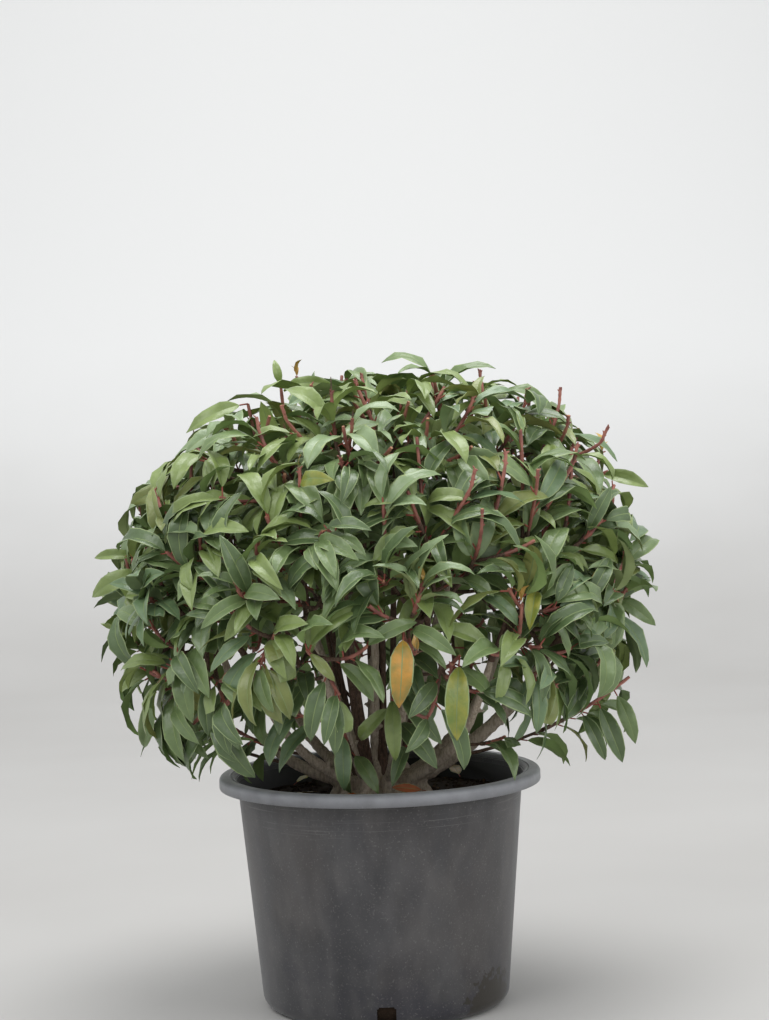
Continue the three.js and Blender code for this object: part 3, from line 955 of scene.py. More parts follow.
def isFree(p):
    x, y, z = cellOf(p)
    cells = ((x + i, y + j, z + k) for i in (-1, 0, 1) for j in (-1, 0, 1) for k in (-1, 0, 1))
    return all((p - other).length > leafy["room"] for cell in cells for other in taken.get(cell, ()))


def take(points):
    for p in points:
        taken.setdefault(cellOf(p), []).append(p)


# Whether a leaf fits: inside the crown, over the skirt, off the pot, clear of boughs and of earlier leaves.
def hasRoom(root, direction, face, length, edge, isLow):
    normal = direction.cross(face).cross(direction).normalized()
    spots = [root + direction * length * share + normal * length * rise for share, rise in leafy["spots"]]
    for spot in spots:
        if crownShare(spot) > edge or clearOfBoughs(spot) < leafy["offBark"]:
            return False
        isUnder = spot.z < skirtHeight(spot) - leafy["underSkirt"]
        if hitsPot(spot) if isLow else isUnder or nearPot(spot, leafy["offPot"]):
            return False
    if not all(isFree(spot) for spot in spots[:3]):
        return False
    take(spots[:3])
    return True


# The places of one shoot's leaves: root, way, the side that the upper face looks to, and length.
def leafPlaces(curve, count, random, isLow):
    places = []
    outward = outwardAt(curve[2])
    flatOut = Vector((outward.x, outward.y, 0.25 * min(0, outward.z)))
    edge = leafy["lowEdge"] if isLow else edgeOf(curve[2], random)
    firstTurn = fullTurn * random.random()
    for k in range(count):
        t = mixed(leafy["firstAt"], leafy["lastAt"], (k + 0.5) / count)
        root, heading = along(curve, t)
        sideways = heading.cross(up).normalized()
        spread = leafy["spread"] + leafy["lowerSpread"] * (1 - t)
        spread += leafy["spreadVary"] * random.uniform(-1, 1)
        hang = atLevel(leafy["hang"], root) + leafy["hangVary"] * random.uniform(-1, 1)
        hang += leafy["lowHang"] if isLow else 0
        rise = clamped((root.z - skirtHeight(root)) / leafy["openFrom"])
        if random.random() > mixed(leafy["lowShare"], 1, rise ** leafy["openCurve"]) and not isLow:
            continue
        length = varied(random, leafy["length"], leafy["vary"]) * (1 - leafy["tipShrink"] * t)
        roll = leafy["roll"] * random.normal(0, 1)
        for attempt in range(leafy["tries"]):
            turn = firstTurn + k * goldenAngle + attempt * leafy["tryTurn"]
            direction = (Matrix.Rotation(turn, 3, heading) @ sideways) * math.sin(spread)
            direction += heading * math.cos(spread) - up * hang
            direction += flatOut * (leafy["outward"] - leafy["tryTuck"] * attempt)
            direction.normalize()
            face = Matrix.Rotation(roll, 3, direction) @ (up + flatOut * atLevel(leafy["faceOut"], root))
            if hasRoom(root, direction, face, length, edge, isLow):
                places.append((root, direction, face, length))
                break
    return places


# A young shoot with a scar at each leaf. Some end in a bare stick with a few buds, cut off square.
def addYoungShoot(heap, curve, index, canBeStick=True):
    random = dice("youngShoots", index)
    shares = np.linspace(0, 1, fork["rings"])
    points = [along(curve, t)[0] for t in shares]
    radii = [mixed(fork["width"], fork["tipWidth"], t) / 2 * fork["scars"][i % 2]
             for i, t in enumerate(shares)]
    end, heading = points[-1], along(curve, 1)[1]
    isCut = canBeStick and random.random() < stick["share"]
    if isCut:
        way = heading.lerp(up, stick["upright"]).normalized()
        reach = random.uniform(*stick["length"]) * (0.5 + 0.5 * clamped(1 + crownLevel(end)))
        reach = max(stick["shortest"], min(reach, stick["highest"] - end.z))
        side = way.cross(Vector(random.normal(0, 1, 3))).normalized()
        for share in stick["steps"]:
            points.append(end + heading.lerp(way, min(1, share * 2)).normalized() * reach * share)
            radii.append(fork["tipWidth"] / 2 * stick["thickness"][len(points) % 2])
            side = Matrix.Rotation(goldenAngle, 3, way) @ side
            if random.random() < stick["buds"]:
                foot = points[-1] + side * radii[-1] * 0.5
                point = foot + (side + way * stick["budLean"]) * stick["bud"]
                heap.add(*tube([foot, foot.lerp(point, 0.6), point], stick["budRadii"], 5))
    shape, faces = tube(points, radii, fork["sides"])
    brown = fork["sides"] * int(fork["redFrom"] * len(shares))
    heap.add(shape, faces, [2] * brown + [0] * (len(faces) - brown - 1) + [1])
    if isCut and random.random() < stick["snags"]:
        snag = [points[-1], points[-1] + way * 5, points[-1] + way * random.uniform(*stick["snagLength"])]
        heap.add(*tube(snag, stick["snagRadii"], 5), 2)
    return points[-1], points[-2], isCut


def addTwig(heap, curve, reach, widths, seed, sides=8):
    shares = np.linspace(0, reach, 12)
    radii = [mixed(*widths, t / reach) / 2 for t in shares]
    bumps = dice("twigs", seed).normal(1, 0.06, (len(shares), sides))
    heap.add(*tube([along(curve, t)[0] for t in shares], radii, sides, bumps))


# Everything that grows: old twigs, young shoots with their cut sticks, and the curve of each leafy spray.
# Each fork, stem and placed shoot has its own number, which seeds its random draws.
def growTwigs():
    old, young = Heap(), Heap()
    sprays, newLeaves = [], []

    def addFork(curve, index):
        addTwig(old, curve, fork["share"], (shoot["width"], shoot["tipWidth"]), index)
        for k, youngCurve in enumerate(youngCurves(curve, index)):
            number = 3 * index + k
            sprays.append((youngCurve, number, leafy["perShoot"], None))
            end, below, isCut = addYoungShoot(young, youngCurve, number)
            if isCut and dice("leaflets", number).random() < stick["leaflets"]:
                newLeaves.append((end, below, number))

    tipsOf = [[] for _ in boughs]
    for tip, index in shootTips():
        nearest = min(range(len(middles)), key=lambda i: (middles[i] - tip).length)
        tipsOf[nearest].append((tip, index))
    for own, tips in enumerate(tipsOf):
        stem = massStem(own)
        stemWidth = 2 * limbs[own][1][-1]
        addTwig(old, stem, 1, (mass["stemFoot"] * stemWidth, mass["stemTip"] * stemWidth), own, 10)
        for i, (tip, index) in enumerate(tips):
            curve = shootCurve(stem, tip, (i + 0.5) / len(tips))
            if curve:
                addFork(curve, index)
    for i, (degrees, reach, height, foot) in enumerate(innerStems):
        azimuth = math.radians(degrees)
        start = around(trunkRadius * innerStem["footReach"], azimuth, soilTop + innerStem["footRise"])
        bend = around(innerStem["bow"] * reach, azimuth, mixed(start.z, height, 0.5))
        end = around(reach, azimuth, height)
        addTwig(old, (start, bend, end), 1, (foot, shoot["width"]), firstNumber["innerStem"] + i, 10)
        onward = (end + (end - bend) * share for share in innerStem["forkAt"])
        addFork((end, *onward), firstNumber["innerFork"] + i)
    for i, (bough, share, tip, count, kind) in enumerate(placedShoots):
        points, _ = limbs[boughNodes.index("bough_" + bough)]
        base = points[int(share * (len(points) - 1))]
        end = Vector(tip)
        bend = base.lerp(end, lowShoot["bendAt"]) - up * lowShoot["sag"] * (end - base).length
        curve = (base, bend, end)
        addTwig(old, curve, lowShoot["oldShare"], lowShoot["widths"], firstNumber["placedTwig"] + i, 7)
        redFrom = lowShoot["redFrom"]
        red = (along(curve, redFrom)[0], bend.lerp(end, redFrom), end)
        addYoungShoot(young, red, firstNumber["placedShoot"] + i, False)
        sprays.insert(0, (curve, firstNumber["placedSpray"] + i, count, kind))
    return old, young, sprays, newLeaves


twigOld, twigYoung, sprays, newLeaves = growTwigs()
twigBark = makeLaurelBark("oldTwigBark", bark["twigColours"], bark["twigRoughness"])
shootFinishes = [makeFinish("redShootSkin", **redShoot), makeFinish("cutWood", **cutWood), twigBark]
twigOld.build("oldTwigs", [twigBark], "bark", sharpAngle=50)
twigYoung.build("youngShoots", shootFinishes, "bark", sharpAngle=50)
print("twigs", len(sprays), "leafy shoots")

# Leaves

blade = {
    "models": 22,
    "driedModels": 3,  # flatter ones, for the leaves on the compost
    "petiole": 0.15,  # share of the whole leaf
    "petioleRadius": 0.0115,
    "halfWidth": (0.138, 0.172),
    "widthVary": (0.94, 1.06),
    "thickness": 0.006,
    "bend": (0.9, 2.1),  # radians from the petiole to the tip
    "driedBend": (0.2, 0.5),
    "fold": (0.05, 0.65),  # radians that each half is raised
    "tipFold": 0.35,  # how much flatter it is at the tip
    "belly": 0.1,
    "ribDepth": (0.02, 0.006),  # in the upper side, and out from the underside
    "twist": 0.6,
    "sickle": 0.06,
    "ripple": 0.02,
    "ripples": 14,
    "clippedEvery": 11,  # one model in this many was cut square by the shears
    "clipAt": (0.55, 0.75),  # share of the blade that the cut left
}

# Share of the half width at places along the blade: broadest at the middle, with a short fine point.
bladeOutline = [(0, 0.08), (0.06, 0.36), (0.17, 0.7), (0.3, 0.93), (0.45, 1), (0.6, 0.93), (0.75, 0.71),
                (0.89, 0.36), (1, 0.03)]
bladeCorners = [-1, -0.9, -0.46, -0.045, 0.045, 0.46, 0.9, 1, 0.46, 0.045, -0.045, -0.46]
upperCorners = 8  # the rest lie on the underside
skins = {"upper": 0, "under": 1, "rib": 2, "margin": 3, "petiole": 4}
aroundBlade = ["margin", "upper", "upper", "rib", "upper", "upper", "margin",
               "under", "under", "rib", "under", "under"]


# One leaf, 1 long from its root to its tip along Y, with its upper side towards Z.
def leafModel(number):
    random = dice("leafModels", number)
    isDried = number >= blade["models"]
    bend = random.uniform(*blade["driedBend" if isDried else "bend"])
    fold = random.uniform(*blade["fold"])
    halfWidth = random.uniform(*blade["halfWidth"])
    twist = blade["twist"] * random.uniform(-1, 1)
    sickle = blade["sickle"] * random.uniform(-1, 1)
    phase = random.uniform(0, fullTurn)
    start, end = blade["petiole"], 1
    if number % blade["clippedEvery"] == 0 and not isDried:
        end = random.uniform(*blade["clipAt"])
        fold = blade["fold"][0]
    outline = [(s * end, np.interp(s * end, *zip(*bladeOutline))) for s, _ in bladeOutline]
    stations = [0, 0.9 * start] + [mixed(start, 1, s) for s, _ in outline]
    slopes = [bend * (0.5 - max(0, (s - start) / (1 - start))) for s in stations]
    middle = [np.array((0.0, 0.0))]
    for i in range(1, len(stations)):
        slope = (slopes[i - 1] + slopes[i]) / 2
        step = stations[i] - stations[i - 1]
        middle.append(middle[-1] + step * np.array((math.cos(slope), math.sin(slope))))
    corners = len(bladeCorners)
    turns = fullTurn * (np.arange(corners) - 3.5) / corners
    rings = []
    for i, (s, slope, (y, z)) in enumerate(zip(stations, slopes, middle)):
        if i < 2:
            thick = blade["petioleRadius"]
            section = [(thick * math.sin(-t), thick * math.cos(t)) for t in turns]
        else:
            section = bladeSection(outline[i - 2], halfWidth, fold, phase, random)
        roll = twist * max(0, s - start)
        for x, h in section:
            side, rise = x * math.cos(roll) - h * math.sin(roll), x * math.sin(roll) + h * math.cos(roll)
            side += sickle * s * s
            rings.append((side, y - rise * math.sin(slope), z + rise * math.cos(slope)))
    points = np.array(rings)
    tip = points[-corners:].mean(axis=0)
    points[:, 1:] *= stations[-1] / math.hypot(tip[1], tip[2])
    finishes = []
    for gap in range(len(stations) - 1):
        finishes += [skins["petiole"] if gap < 2 else skins[name] for name in aroundBlade for _ in (0, 1)]
    return points, leafFaces(len(stations)), finishes + [skins["petiole"], skins["rib"]]


# Triangles round the leaf, split the same way above and below, so that neither side comes through the other.
def leafFaces(rings):
    sides = len(bladeCorners)
    *quads, foot, tip = loftFaces(rings, sides)
    faces = []
    for i, (a, b, c, d) in enumerate(quads):
        faces += [[a, b, c], [a, c, d]] if i % sides < upperCorners - 1 else [[a, b, d], [b, c, d]]
    return [*faces, foot, tip]


# The corners round one cut through the blade: raised halves, a sunk rib, and a rounded underside.
def bladeSection(outlinePoint, halfWidth, fold, phase, random):
    s, share = outlinePoint
    half = halfWidth * share * random.uniform(*blade["widthVary"])
    flatter = fold * (1 - blade["tipFold"] * s)
    sunk, raised = blade["ribDepth"]
    section = []
    for k, v in enumerate(bladeCorners):
        x = v * half * math.cos(flatter)
        h = abs(v) * half * math.sin(flatter) + blade["belly"] * half * math.sin(math.pi * abs(v))
        h += blade["ripple"] * share * math.sin(blade["ripples"] * s + phase + (2 if v < 0 else 0)) * v * v
        thick = blade["thickness"] * (1 - abs(v))
        isUpper = k < upperCorners
        h += thick / 2 if isUpper else -thick / 2
        if abs(v) < 0.1:
            h -= sunk * half if isUpper else raised * share
        section.append((x, h))
    return section


# Laurel leaf, upper side: thick green blade under a clear waxy skin, which gives a broad soft shine.
leafTop = {"ior": 1.47, "specular": 0.5, "patches": (17, 3, (0.3, 0.7, 0.12, 0.88)),
           "relief": (6, 3, 0.7, 0.0012), "coat": (0.22, 0.26)}

# Laurel leaf, underside: paler, yellower and matt, because it has no thick wax, and lightened further with
# painted light in place of the light that shines through the leaf.
leafUnderside = {"roughness": 0.62, "ior": 1.4, "specular": 0.35, "patches": (9, 3)}

# Leaf rib, leaf margin and petiole: pale and thin-skinned, so that each leaf is drawn in light lines.
leafLines = [
    makeFinish("paleLeafRib", tones=("#879767", "#788858"), **leafUnderside),
    makeFinish("paleLeafMargin", tones=("#93a276", "#849367"), **leafUnderside),
    makeFinish("redPetioleSkin", tones=("#9a5a4c", "#87463d"), **leafUnderside),
]

# Each kind: colours of the upper side and the underside, light and dark, and how rough the upper side is. The
# underside's colours carry painted light in place of light shining through the leaf.
leafKinds = {
    "deep": (("#5f734b", "#4b5e3a"), ("#7f9661", "#6d8452"), 0.34),
    "mid": (("#738856", "#5e7147"), ("#8aa065", "#789055"), 0.35),
    "grey": (("#6f8760", "#5b7150"), ("#889a71", "#778961"), 0.36),
    "fresh": (("#849559", "#708246"), ("#98a966", "#869755"), 0.36),
    "olive": (("#858f51", "#707942"), ("#9da363", "#8d9155"), 0.37),
    "light": (("#869a71", "#74885f"), ("#9eab79", "#8e9b68"), 0.36),
    "yellow": (("#b8a653", "#9e9848"), ("#bba95b", "#a8984c"), 0.36),
    "turning": (("#5f7a38", "#a09a40"), ("#84904c", "#a39c4c"), 0.38),
    "orange": (("#68763a", "#cc8f38"), ("#9c8c43", "#a4703a"), 0.4),
    "budding": (("#c2a052", "#b08647"), ("#b9984f", "#a98045"), 0.36),
    "rusty": (("#b8642f", "#8f4d2c"), ("#a9633a", "#8a5234"), 0.55),
}

# How often each kind is dealt to a spray, at the top of the crown and at its bottom. The lighter kinds go to
# the top and the deep ones to the bottom: painted light on the crown's top and painted shade low in it.
kindShares = {
    "deep": (0.06, 0.56),
    "mid": (0.24, 0.26),
    "grey": (0.1, 0.13),
    "fresh": (0.32, 0.05),
    "olive": (0.12, 0.03),
    "light": (0.19, 0.02),
}

dealing = {
    "lowest": 300,  # millimetres: the bottom shares hold up to here
    "span": 380,  # and the top ones from this much higher
    "ownKind": 0.72,  # of a spray's leaves are of the spray's own kind
}

# Leaves that lie on the compost: azimuth, distance, kind, length, the way they point in degrees, height over
# the compost, and where the upper face looks. The first leans against the stool.
fallenLeaves = [
    (307, 85, "rusty", 38, 175, 12, (0, -0.8, 0.6)),
    (81, 66, "rusty", 38, 20, 4, up),
    (40, 122, "orange", 52, 100, 4, up),
    (150, 116, "yellow", 50, 60, 4, up),
    (265, 108, "rusty", 48, 140, 4, up),
    (200, 122, "orange", 44, 10, 4, up),
    (330, 118, "yellow", 46, 250, 4, up),
    (112, 92, "rusty", 40, 300, 4, up),
]

# How a named leaf faces, and the room between it and the camera that other leaves leave free.
namedLeaf = {
    "face": (0, -1, 0.4),
    "along": (0.2, 1, 7),  # shares of the leaf, first and last, and how many
    "nearer": (0, 108, 12),  # millimetres towards the camera, and their step
    "aside": (-18, -9, 0, 9, 18),
}

# The new leaves just opening at a cut end.
newLeaf = {
    "count": (1, 4),  # from the first to just under the second
    "lean": (0.3, 0.8),
    "turn": 2.2,  # radians from each to the next
    "faceUp": 0.4,
    "length": (14, 28),
    "step": 0.5,  # share of the last stretch of shoot from each to the next
}


def dealKind(random, height):
    rise = clamped((height - dealing["lowest"]) / dealing["span"])
    weights = np.array([mixed(bottom, top, rise) for top, bottom in kindShares.values()])
    return list(kindShares)[random.choice(len(kindShares), p=weights / weights.sum())]


# The nearest place on any leafy shoot, for a leaf to grow from.
def nearestOnShoot(place):
    places = [along(curve, t)[0] for curve, *_ in sprays for t in np.linspace(0.3, 1, 8)]
    return min(places, key=lambda p: (p - place).length)


def wholeModel(i):
    return 1 + i % (blade["clippedEvery"] - 1)


# Every leaf of each kind: root, way, the side that the upper face looks to, length and model. The named ones
# come first and keep the room between them and the camera free.
def growLeaves():
    placed = {kind: [] for kind in leafKinds}
    for i, (root, tip, kind) in enumerate(namedLeaves):
        start = nearestOnShoot(Vector(root))
        reach = Vector(tip) - start
        reach.length = min(reach.length, leafy["length"] * (1 + leafy["vary"]))
        face = Vector(namedLeaf["face"])
        placed[kind].append((start, reach.normalized(), face, reach.length, wholeModel(i)))
        toViewer = (Vector(camera["place"]) * 1000 - start).normalized()
        take([start + reach * share + toViewer * nearer + Vector((side, 0, 0))
              for share in np.linspace(*namedLeaf["along"])
              for nearer in range(*namedLeaf["nearer"])
              for side in namedLeaf["aside"]])
    for curve, index, count, given in sprays:
        random = dice("sprays", index)
        kind = given or dealKind(random, curve[2].z)
        for leaf in leafPlaces(curve, count, random, given is not None):
            own = kind if random.random() < dealing["ownKind"] else dealKind(random, leaf[0].z)
            placed[own].append((*leaf, random.integers(blade["models"])))
    for end, below, index in newLeaves:
        random = dice("newLeaves", index)
        turn = random.uniform(0, fullTurn)
        for k in range(random.integers(*newLeaf["count"])):
            azimuth = turn + newLeaf["turn"] * k
            direction = (up + around(random.uniform(*newLeaf["lean"]), azimuth, 0)).normalized()
            face = -around(1, azimuth, 0) + up * newLeaf["faceUp"]
            length = random.uniform(*newLeaf["length"])
            root = end.lerp(below, newLeaf["step"] * k)
            placed["budding"].append((root, direction, face, length, random.integers(blade["models"])))
    for i, (degrees, distance, kind, length, way, rise, face) in enumerate(fallenLeaves):
        root = around(distance, math.radians(degrees), soilTop + rise)
        direction = around(1, math.radians(way), 0.12)
        model = blade["models"] + i % blade["driedModels"]
        placed[kind].append((root, direction, Vector(face), length, model))
    return placed


# All leaves of one kind in one joined mesh, each a turned and scaled copy of a model.
def buildLeaves(kind, leaves):
    upper, under, roughness = leafKinds[kind]
    heap = Heap()
    for root, direction, face, length, model in leaves:
        across = direction.cross(face).normalized()
        normal = across.cross(direction)
        points, faces, finishes = leafModels[model]
        frameOfLeaf = np.array([tuple(across), tuple(direction), tuple(normal)]) * length
        heap.add(points @ frameOfLeaf + np.array(tuple(root)), faces, finishes)
    topFinish = makeFinish(kind + "LeafTop", roughness, tones=upper, **leafTop)
    # Underside colours: partly the paler underside itself, partly painted light shining through the leaf.
    undersidePaintedLightFinish = makeFinish(kind + "LeafUndersidePaintedLight", tones=under, **leafUnderside)
    heap.build(kind + "Leaves", [topFinish, undersidePaintedLightFinish, *leafLines], "leaves", *foliageNodes, sharpAngle=75)
    print(kind + "Leaves", len(leaves), "leaves")


leafModels = [leafModel(i) for i in range(blade["models"] + blade["driedModels"])]
for kind, leaves in growLeaves().items():
    buildLeaves(kind, leaves)

# Pot

potShape = {
    "segments": 192,
    "lipDepth": 13.5,
    "lipSkin": 3.2,
    "lipRoll": 5.2,
    "mouthRadius": 165,
    # steps round the mouth: out from its radius, and down from the top
    "mouthSteps": [(5.2, 0.4), (4.8, 1.5), (3.8, 1.5), (3.4, 0.8), (1.5, 1.6), (0.2, 3), (-0.6, 5)],
    "wallTopRadius": 161.7,
    "wallFootRadius": 139.3,
    "wall": 2.6,
    "floor": 3.4,
    "cornerRadius": 16,
    "slots": 4,
    "slotWidth": 21,
    "slotHeight": 26,
    "slotReach": 22,
    "slotRounding": 2,
}
underLip = potHeight - potShape["lipDepth"]


def arcPoints(x, y, radius, fromDegrees, toDegrees, steps):
    turns = np.radians(np.linspace(fromDegrees, toDegrees, steps + 1))
    return [(x + radius * math.cos(t), y + radius * math.sin(t)) for t in turns]


def wallRadius(height):
    return mixed(potShape["wallFootRadius"], potShape["wallTopRadius"], height / underLip)


# The pot's profile in two parts, outside and inside. The lip rolls out from the mouth, over a round shoulder
# and down to a thin edge, hollow behind.
def potOutline():
    skin, wall, roll, corner = (potShape[name] for name in ("lipSkin", "wall", "lipRoll", "cornerRadius"))
    footRadius = wallRadius(corner)
    outside = [
        (0, 0),
        (footRadius * 0.5, 0),
        *arcPoints(footRadius - corner, corner, corner, -90, 0, 8),
        (wallRadius(underLip - 3), underLip - 3),
        (wallRadius(underLip), underLip + 2),
        (wallRadius(underLip) + 1, potHeight - 5.5),
        (potRadius - skin - 2, potHeight - 5.5),
        (potRadius - skin, potHeight - 7),
        (potRadius - skin, underLip + 0.6),
        *arcPoints(potRadius - skin / 2, underLip + 0.8, skin / 2, -180, 0, 4),
        *arcPoints(potRadius - roll, potHeight - roll - 0.2, roll, 0, 84, 7),
        *((potShape["mouthRadius"] + out, potHeight - down) for out, down in potShape["mouthSteps"]),
    ]
    inside = [
        (wallRadius(underLip) - wall, underLip - 4),
        *arcPoints(footRadius - corner, potShape["floor"] + corner - wall, corner - wall, 0, -90, 5),
        (0, potShape["floor"]),
    ]
    return outside, inside


# How the wall's finish is laid over the bare plastic, from the bottom layer up. A layer shows where its noise
# rises through "from", as strongly as "share", and fades between two heights in millimetres.
potFinish = {
    "bare": "#333336",
    "detail": 7,  # of the layers' noise
    "relief": (1.6, 3, 0.25, 0.0003),
    "roughness": (0.4, 0.62),  # clean plastic, dusty plastic
    "sheen": (0.2, 0.4),  # of the dust: weight and roughness
    "layers": [
        {"colour": "#525152", "size": 60, "stretch": (1, 1, 0.35), "from": (0.32, 0.68),
         "share": (0.15, 0.9)},
        {"colour": "#4a433e", "size": 90, "stretch": (1, 1, 0.5), "from": (0.45, 0.62), "share": (0, 0.32)},
        {"colour": "#252528", "size": 48, "stretch": (1, 1, 0.6), "from": (0.42, 0.7), "share": (0, 0.42)},
        {"colour": "#636160", "size": 26, "stretch": (1, 1, 0.5), "from": (0.4, 0.8), "share": (0, 0.4)},
        # This layer grows stronger towards the foot: a darker, bluer tone low on the wall.
        {"colour": "#2b2a33", "size": 46, "from": (0.42, 0.62), "share": (0, 0.7), "fade": (14, 95, 1, 0.12)},
        {"colour": "#72706f", "size": 2.2, "from": (0.56, 0.78), "share": (0, 0.65)},
        {"colour": "#807e7d", "size": 1.8, "stretch": (0.02, 0.02, 1), "from": (0.6, 0.7), "share": (0, 0.3),
         "fade": (196, 222, 0, 1)},
    ],
    "grit": {"colour": "#9a9896", "spacing": 6, "width": (0.05, 0.13), "chosen": (0.72, 1), "share": 0.38},
    # The lip's pale tone is partly wear and partly a painted highlight, and it fades to painted shade over
    # the lip's lower half.
    "lip": {"colour": "#94969b", "size": 22, "wearAndHighlight": (0.2, 0.7, 0.55, 0.98), "from": (-9, 8)},
    "earth": {"colour": "#2d2820", "place": (122, -78, 2), "reach": 88, "size": 9, "ragged": 90},
}

# The inside of the pot: the same plastic without dust, darkened further with painted shade from the crown
# above it, with a little dried splash.
shadedInsidePlastic = {
    "roughness": 0.5,
    "ior": 1.49,
    "specular": 0.4,
    "patches": (12, 6),
    "tones": ("#161618", "#2b2926"),
}


# Recycled polypropylene, injection moulded: near-black grey and half matt, with a haze of dust, a darker tone
# towards the foot, an earth smudge low down, grit specks, fine scratches where pots were stacked, and a lip
# made pale partly by handling and partly by a painted highlight, with painted shade over its lower half. Grit
# and scratches are drawn as coarse as they need to show.
def makePotPlastic():
    material, tree, shader, place = newMaterial("mouldedPolypropylene", 0.5, 1.49, 0.5)
    height = addNode(tree, "SeparateXYZ", {"Vector": place}, output="Z")
    laid = []
    for layer in potFinish["layers"]:
        stretched = addNode(tree, "Mapping", {"Vector": place, "Scale": layer.get("stretch", (1, 1, 1))})
        share = clouds(tree, stretched, layer["size"], potFinish["detail"], (*layer["from"], *layer["share"]),
                       smooth)
        if "fade" in layer:
            fade = addNode(tree, "MapRange", {"Value": height, **ranges(*layer["fade"])})
            share = addNode(tree, "Math", {0: share, 1: fade}, product)
        laid.append((share, layer["colour"]))
    dust = laid[0][0]
    grit = potFinish["grit"]
    cells = addNode(tree, "TexVoronoi", {"Vector": place, "Scale": 1 / grit["spacing"]})
    cellTone = addNode(tree, "SeparateXYZ", {"Vector": cells.node.outputs["Color"]})
    chosen = addNode(tree, "MapRange", {"Value": cellTone, **ranges(*grit["chosen"])})
    speck = addNode(tree, "MapRange", {"Value": cells, **ranges(*grit["width"], grit["share"], 0)})
    laid.append((addNode(tree, "Math", {0: speck, 1: chosen}, product), grit["colour"]))
    lip = potFinish["lip"]
    flat = addNode(tree, "VectorMath", {0: place, 1: (1, 1, 0)}, product)
    radius = addNode(tree, "VectorMath", {0: flat}, {"operation": "LENGTH"}, "Value")
    mouth = potShape["mouthRadius"]
    outside = addNode(tree, "MapRange", {"Value": radius, **ranges(mouth - 2, mouth + 2)})
    # The pale tone fades out over the lip's lower half: painted shade under the lip.
    low, high = (underLip + rise for rise in lip["from"])
    lipShadeFade = addNode(tree, "MapRange", {"Value": height, **ranges(low, high)})
    lipWearAndHighlightMask = addNode(tree, "Math", {0: outside, 1: lipShadeFade}, product)
    # Patches of the pale tone: wear from handling, and a painted highlight.
    wearAndHighlightPatches = clouds(tree, place, lip["size"], 6, lip["wearAndHighlight"])
    laid.append((addNode(tree, "Math", {0: lipWearAndHighlightMask, 1: wearAndHighlightPatches}, product), lip["colour"]))
    earth = potFinish["earth"]
    away = addNode(tree, "VectorMath", {0: place, 1: earth["place"]}, {"operation": "DISTANCE"}, "Value")
    crumbs = addNode(tree, "TexNoise", {"Vector": place, "Scale": 1 / earth["size"], "Detail": 9})
    ragged = addNode(tree, "Math", {0: crumbs, 1: earth["ragged"], 2: away}, productPlus)
    edge = ranges(earth["reach"], earth["reach"] + 4, 0.95, 0)
    laid.append((addNode(tree, "MapRange", {"Value": ragged, **edge}), earth["colour"]))
    sheenWeight, sheenRoughness = potFinish["sheen"]
    setInputs(shader, {
        "Base Color": layered(tree, potFinish["bare"], laid),
        "Roughness": addNode(tree, "MapRange", {"Value": dust, **ranges(0, 1, *potFinish["roughness"])}),
        "Sheen Weight": sheenWeight, "Sheen Roughness": sheenRoughness})
    addRelief(shader, place, *potFinish["relief"])
    return material


# An outline turned round the upright axis.
def lathe(outline, segments):
    points, faces, starts = [], [], []
    turns = [fullTurn * (k + 0.5) / segments for k in range(segments)]
    for r, z in outline:
        starts.append(len(points))
        points += [(r * math.cos(turn), r * math.sin(turn), z) for turn in turns] if r else [(0, 0, z)]
    for (r0, _), (r1, _), a, b in zip(outline, outline[1:], starts, starts[1:]):
        for k in range(segments):
            n = (k + 1) % segments
            if r0 == 0:
                faces.append([a, b + n, b + k])
            elif r1 == 0:
                faces.append([a + k, a + n, b])
            else:
                faces.append([a + k, a + n, b + n, b + k])
    return points, faces


def makePot():
    outside, inside = potOutline()
    points, faces = lathe(outside + inside, potShape["segments"])
    innerFrom = (len(outside) - 1) * potShape["segments"]
    heap = Heap()
    heap.add(points, faces, [0] * innerFrom + [1] * (len(faces) - innerFrom))
    # The inside's finish is darkened with painted shade.
    finishes = [makePotPlastic(), makeFinish("paintedShadeInnerPolypropylene", **shadedInsidePlastic)]
    pot = heap.build("nurseryPot", finishes, "pot", "pot", sharpAngle=40)
    cutter = bmesh.new()
    slotSizes = ("slotReach", "slotWidth", "slotHeight", "slotRounding")
    reach, width, high, rounding = (potShape[name] / 1000 for name in slotSizes)
    for i in range(potShape["slots"]):
        turn = Matrix.Rotation(fullTurn * i / potShape["slots"], 4, "Z")
        place = Matrix.Translation((potShape["wallFootRadius"] / 1000, 0, 0))
        size = Matrix.Diagonal((2 * reach, width, 2 * high, 1))
        bmesh.ops.create_cube(cutter, size=1, matrix=turn @ place @ size)
    bmesh.ops.bevel(cutter, geom=cutter.edges[:], offset=rounding, segments=3, affect="EDGES")
    tool = newObject("slotCutter", bpy.data.meshes.new("slotCutter"))
    cutter.to_mesh(tool.data)
    cutter.free()
    slots = pot.modifiers.new("slots", "BOOLEAN")
    slots.object = tool
    slots.operation = "DIFFERENCE"
    slots.solver = "EXACT"
    cut = appliedMesh(pot)
    pot.modifiers.clear()
    pot.data = cut
    cut.set_sharp_from_angle(angle=math.radians(40))
    bpy.data.objects.remove(tool)
    print("pot", len(cut.polygons), "faces")


makePot()

# Compost

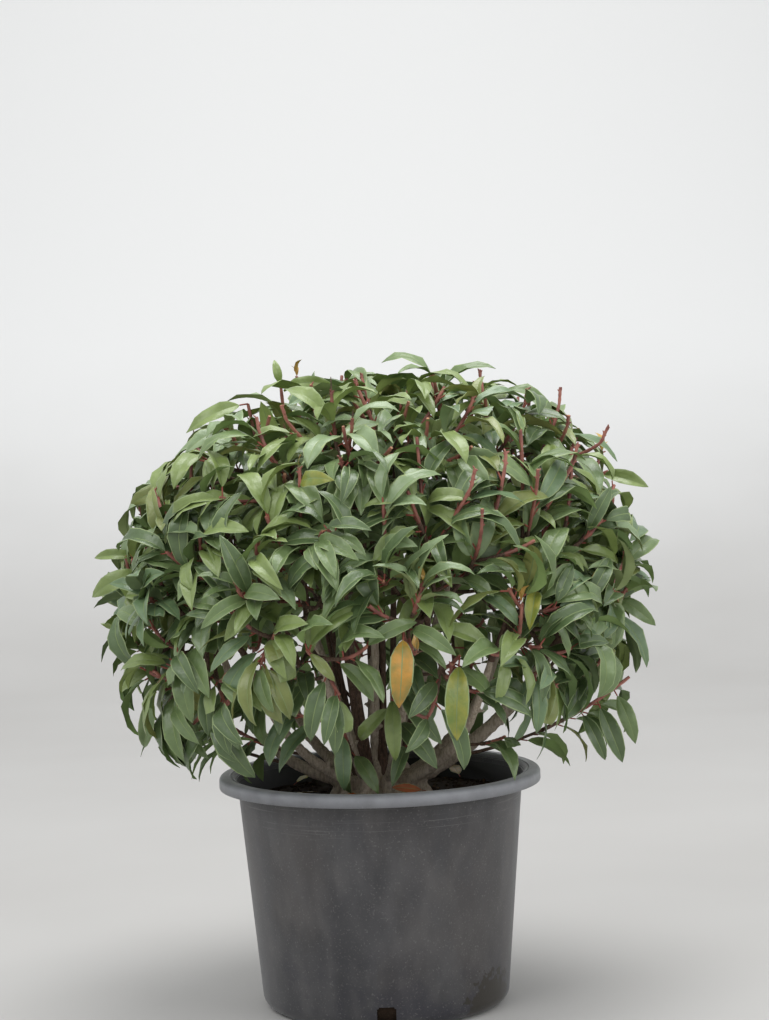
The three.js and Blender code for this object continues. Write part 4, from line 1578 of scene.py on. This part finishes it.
compost = {
    "segments": 150,
    "rings": 46,
    "sideRings": 24,
    "bumps": 3.2,
    "lumps": (0.035, 5),  # on its side: depth as a share of the radius, and size
    "gap": 0.8,  # between it and the pot's wall
    "edgeDrop": 5,
    "sink": 0.6,
    "slope": (120, 34, 4),  # radius where the top begins to fall to the edge, over what width, and how far
    "shoulder": 16,  # height over its foot where it meets the wall
    "crumbs": 900,
    "crumbsWithin": 150,
    "crumbSize": (1.6, 6),
    "crumbVary": (0.5, 1),
    "crumbWidth": (0.4, 1),  # and height, as shares of its length
    "crumbHeight": (0.25, 0.6),
    "crumbRough": (0.7, 1.2),
    "crumbRise": 0.3,  # of its height, over the compost
    "pale": 0.12,  # of the crumbs are pale chips
}

# Composted bark and peat: dark, crumbly and matt, with a few paler fibres.
compostFinish = {
    "roughness": 0.95,
    "ior": 1.4,
    "specular": 0.2,
    "patches": (4, 6),
    "relief": (4, 6, 1, 0.0015),
}


def soilHeight(x, y):
    coarse = noise.noise(Vector((x / 30, y / 30, 3)))
    fine = noise.noise(Vector((x / 7, y / 7, 9)))
    return compost["bumps"] * (0.7 * coarse + 0.3 * fine)


# How far the top has fallen towards the edge.
def slopeDrop(radius):
    start, width, fall = compost["slope"]
    return fall * clamped((radius - start) / width)


# The compost reaches to just short of the pot's inner wall.
def insideRadius(height):
    return wallRadius(height) - potShape["wall"] - compost["gap"]


def makeCompost():
    edge = soilTop - compost["edgeDrop"]
    rim = insideRadius(edge)
    heights = np.linspace(soilFoot + compost["shoulder"], edge - 2, compost["sideRings"])
    sides = [(insideRadius(z), z) for z in heights]
    foot = wallRadius(compost["shoulder"]) - 17
    top = [(r, soilTop - slopeDrop(r) - compost["sink"]) for r in np.linspace(rim - 2, 0, compost["rings"])]
    points, faces = lathe([(0, soilFoot), (foot, soilFoot), *sides, *top], compost["segments"])
    depth, size = compost["lumps"]
    shaped = []
    for x, y, z in points:
        r = math.hypot(x, y)
        if z > edge - 1:
            z += soilHeight(x, y) * clamped((rim - r) / 6)
        elif r > foot:
            lump = 1 - depth * abs(noise.noise(Vector((x / size, y / size, z / size))))
            x, y = x * lump, y * lump
        shaped.append((x, y, z))
    heap = Heap()
    heap.add(shaped, faces)
    addCrumbs(heap)
    finishes = [
        makeFinish("compostedBark", tones=("#241c16", "#3d3026"), **compostFinish),
        makeFinish("paleBarkChips", tones=("#4b3a2b", "#6a543f"), **compostFinish),
    ]
    heap.build("compost", finishes, "compost", "soil", sharpAngle=60)


# Loose crumbs and chips on the compost, pressed a little into it.
def addCrumbs(heap):
    random = dice("crumbs")
    ball = bmesh.new()
    bmesh.ops.create_icosphere(ball, subdivisions=1, radius=1)
    corners = np.array([tuple(v.co) for v in ball.verts])
    faces = [[v.index for v in f.verts] for f in ball.faces]
    ball.free()
    for _ in range(compost["crumbs"]):
        azimuth = random.uniform(0, fullTurn)
        radius = compost["crumbsWithin"] * math.sqrt(random.random())
        size = random.uniform(*compost["crumbSize"]) * random.uniform(*compost["crumbVary"])
        width, height = random.uniform(*compost["crumbWidth"]), random.uniform(*compost["crumbHeight"])
        stretch = size * np.array((1, width, height))
        turn = np.array(Matrix.Rotation(random.uniform(0, 6.28), 3, "Z"))
        rough = random.uniform(*compost["crumbRough"], (len(corners), 1))
        shape = (corners * rough * stretch) @ turn.T
        x, y = radius * math.cos(azimuth), radius * math.sin(azimuth)
        z = soilTop - slopeDrop(radius) + soilHeight(x, y) + stretch[2] * compost["crumbRise"]
        z -= compost["sink"]
        heap.add(shape + np.array((x, y, z)), faces, 1 if random.random() < compost["pale"] else 0)


makeCompost()
print("compost")
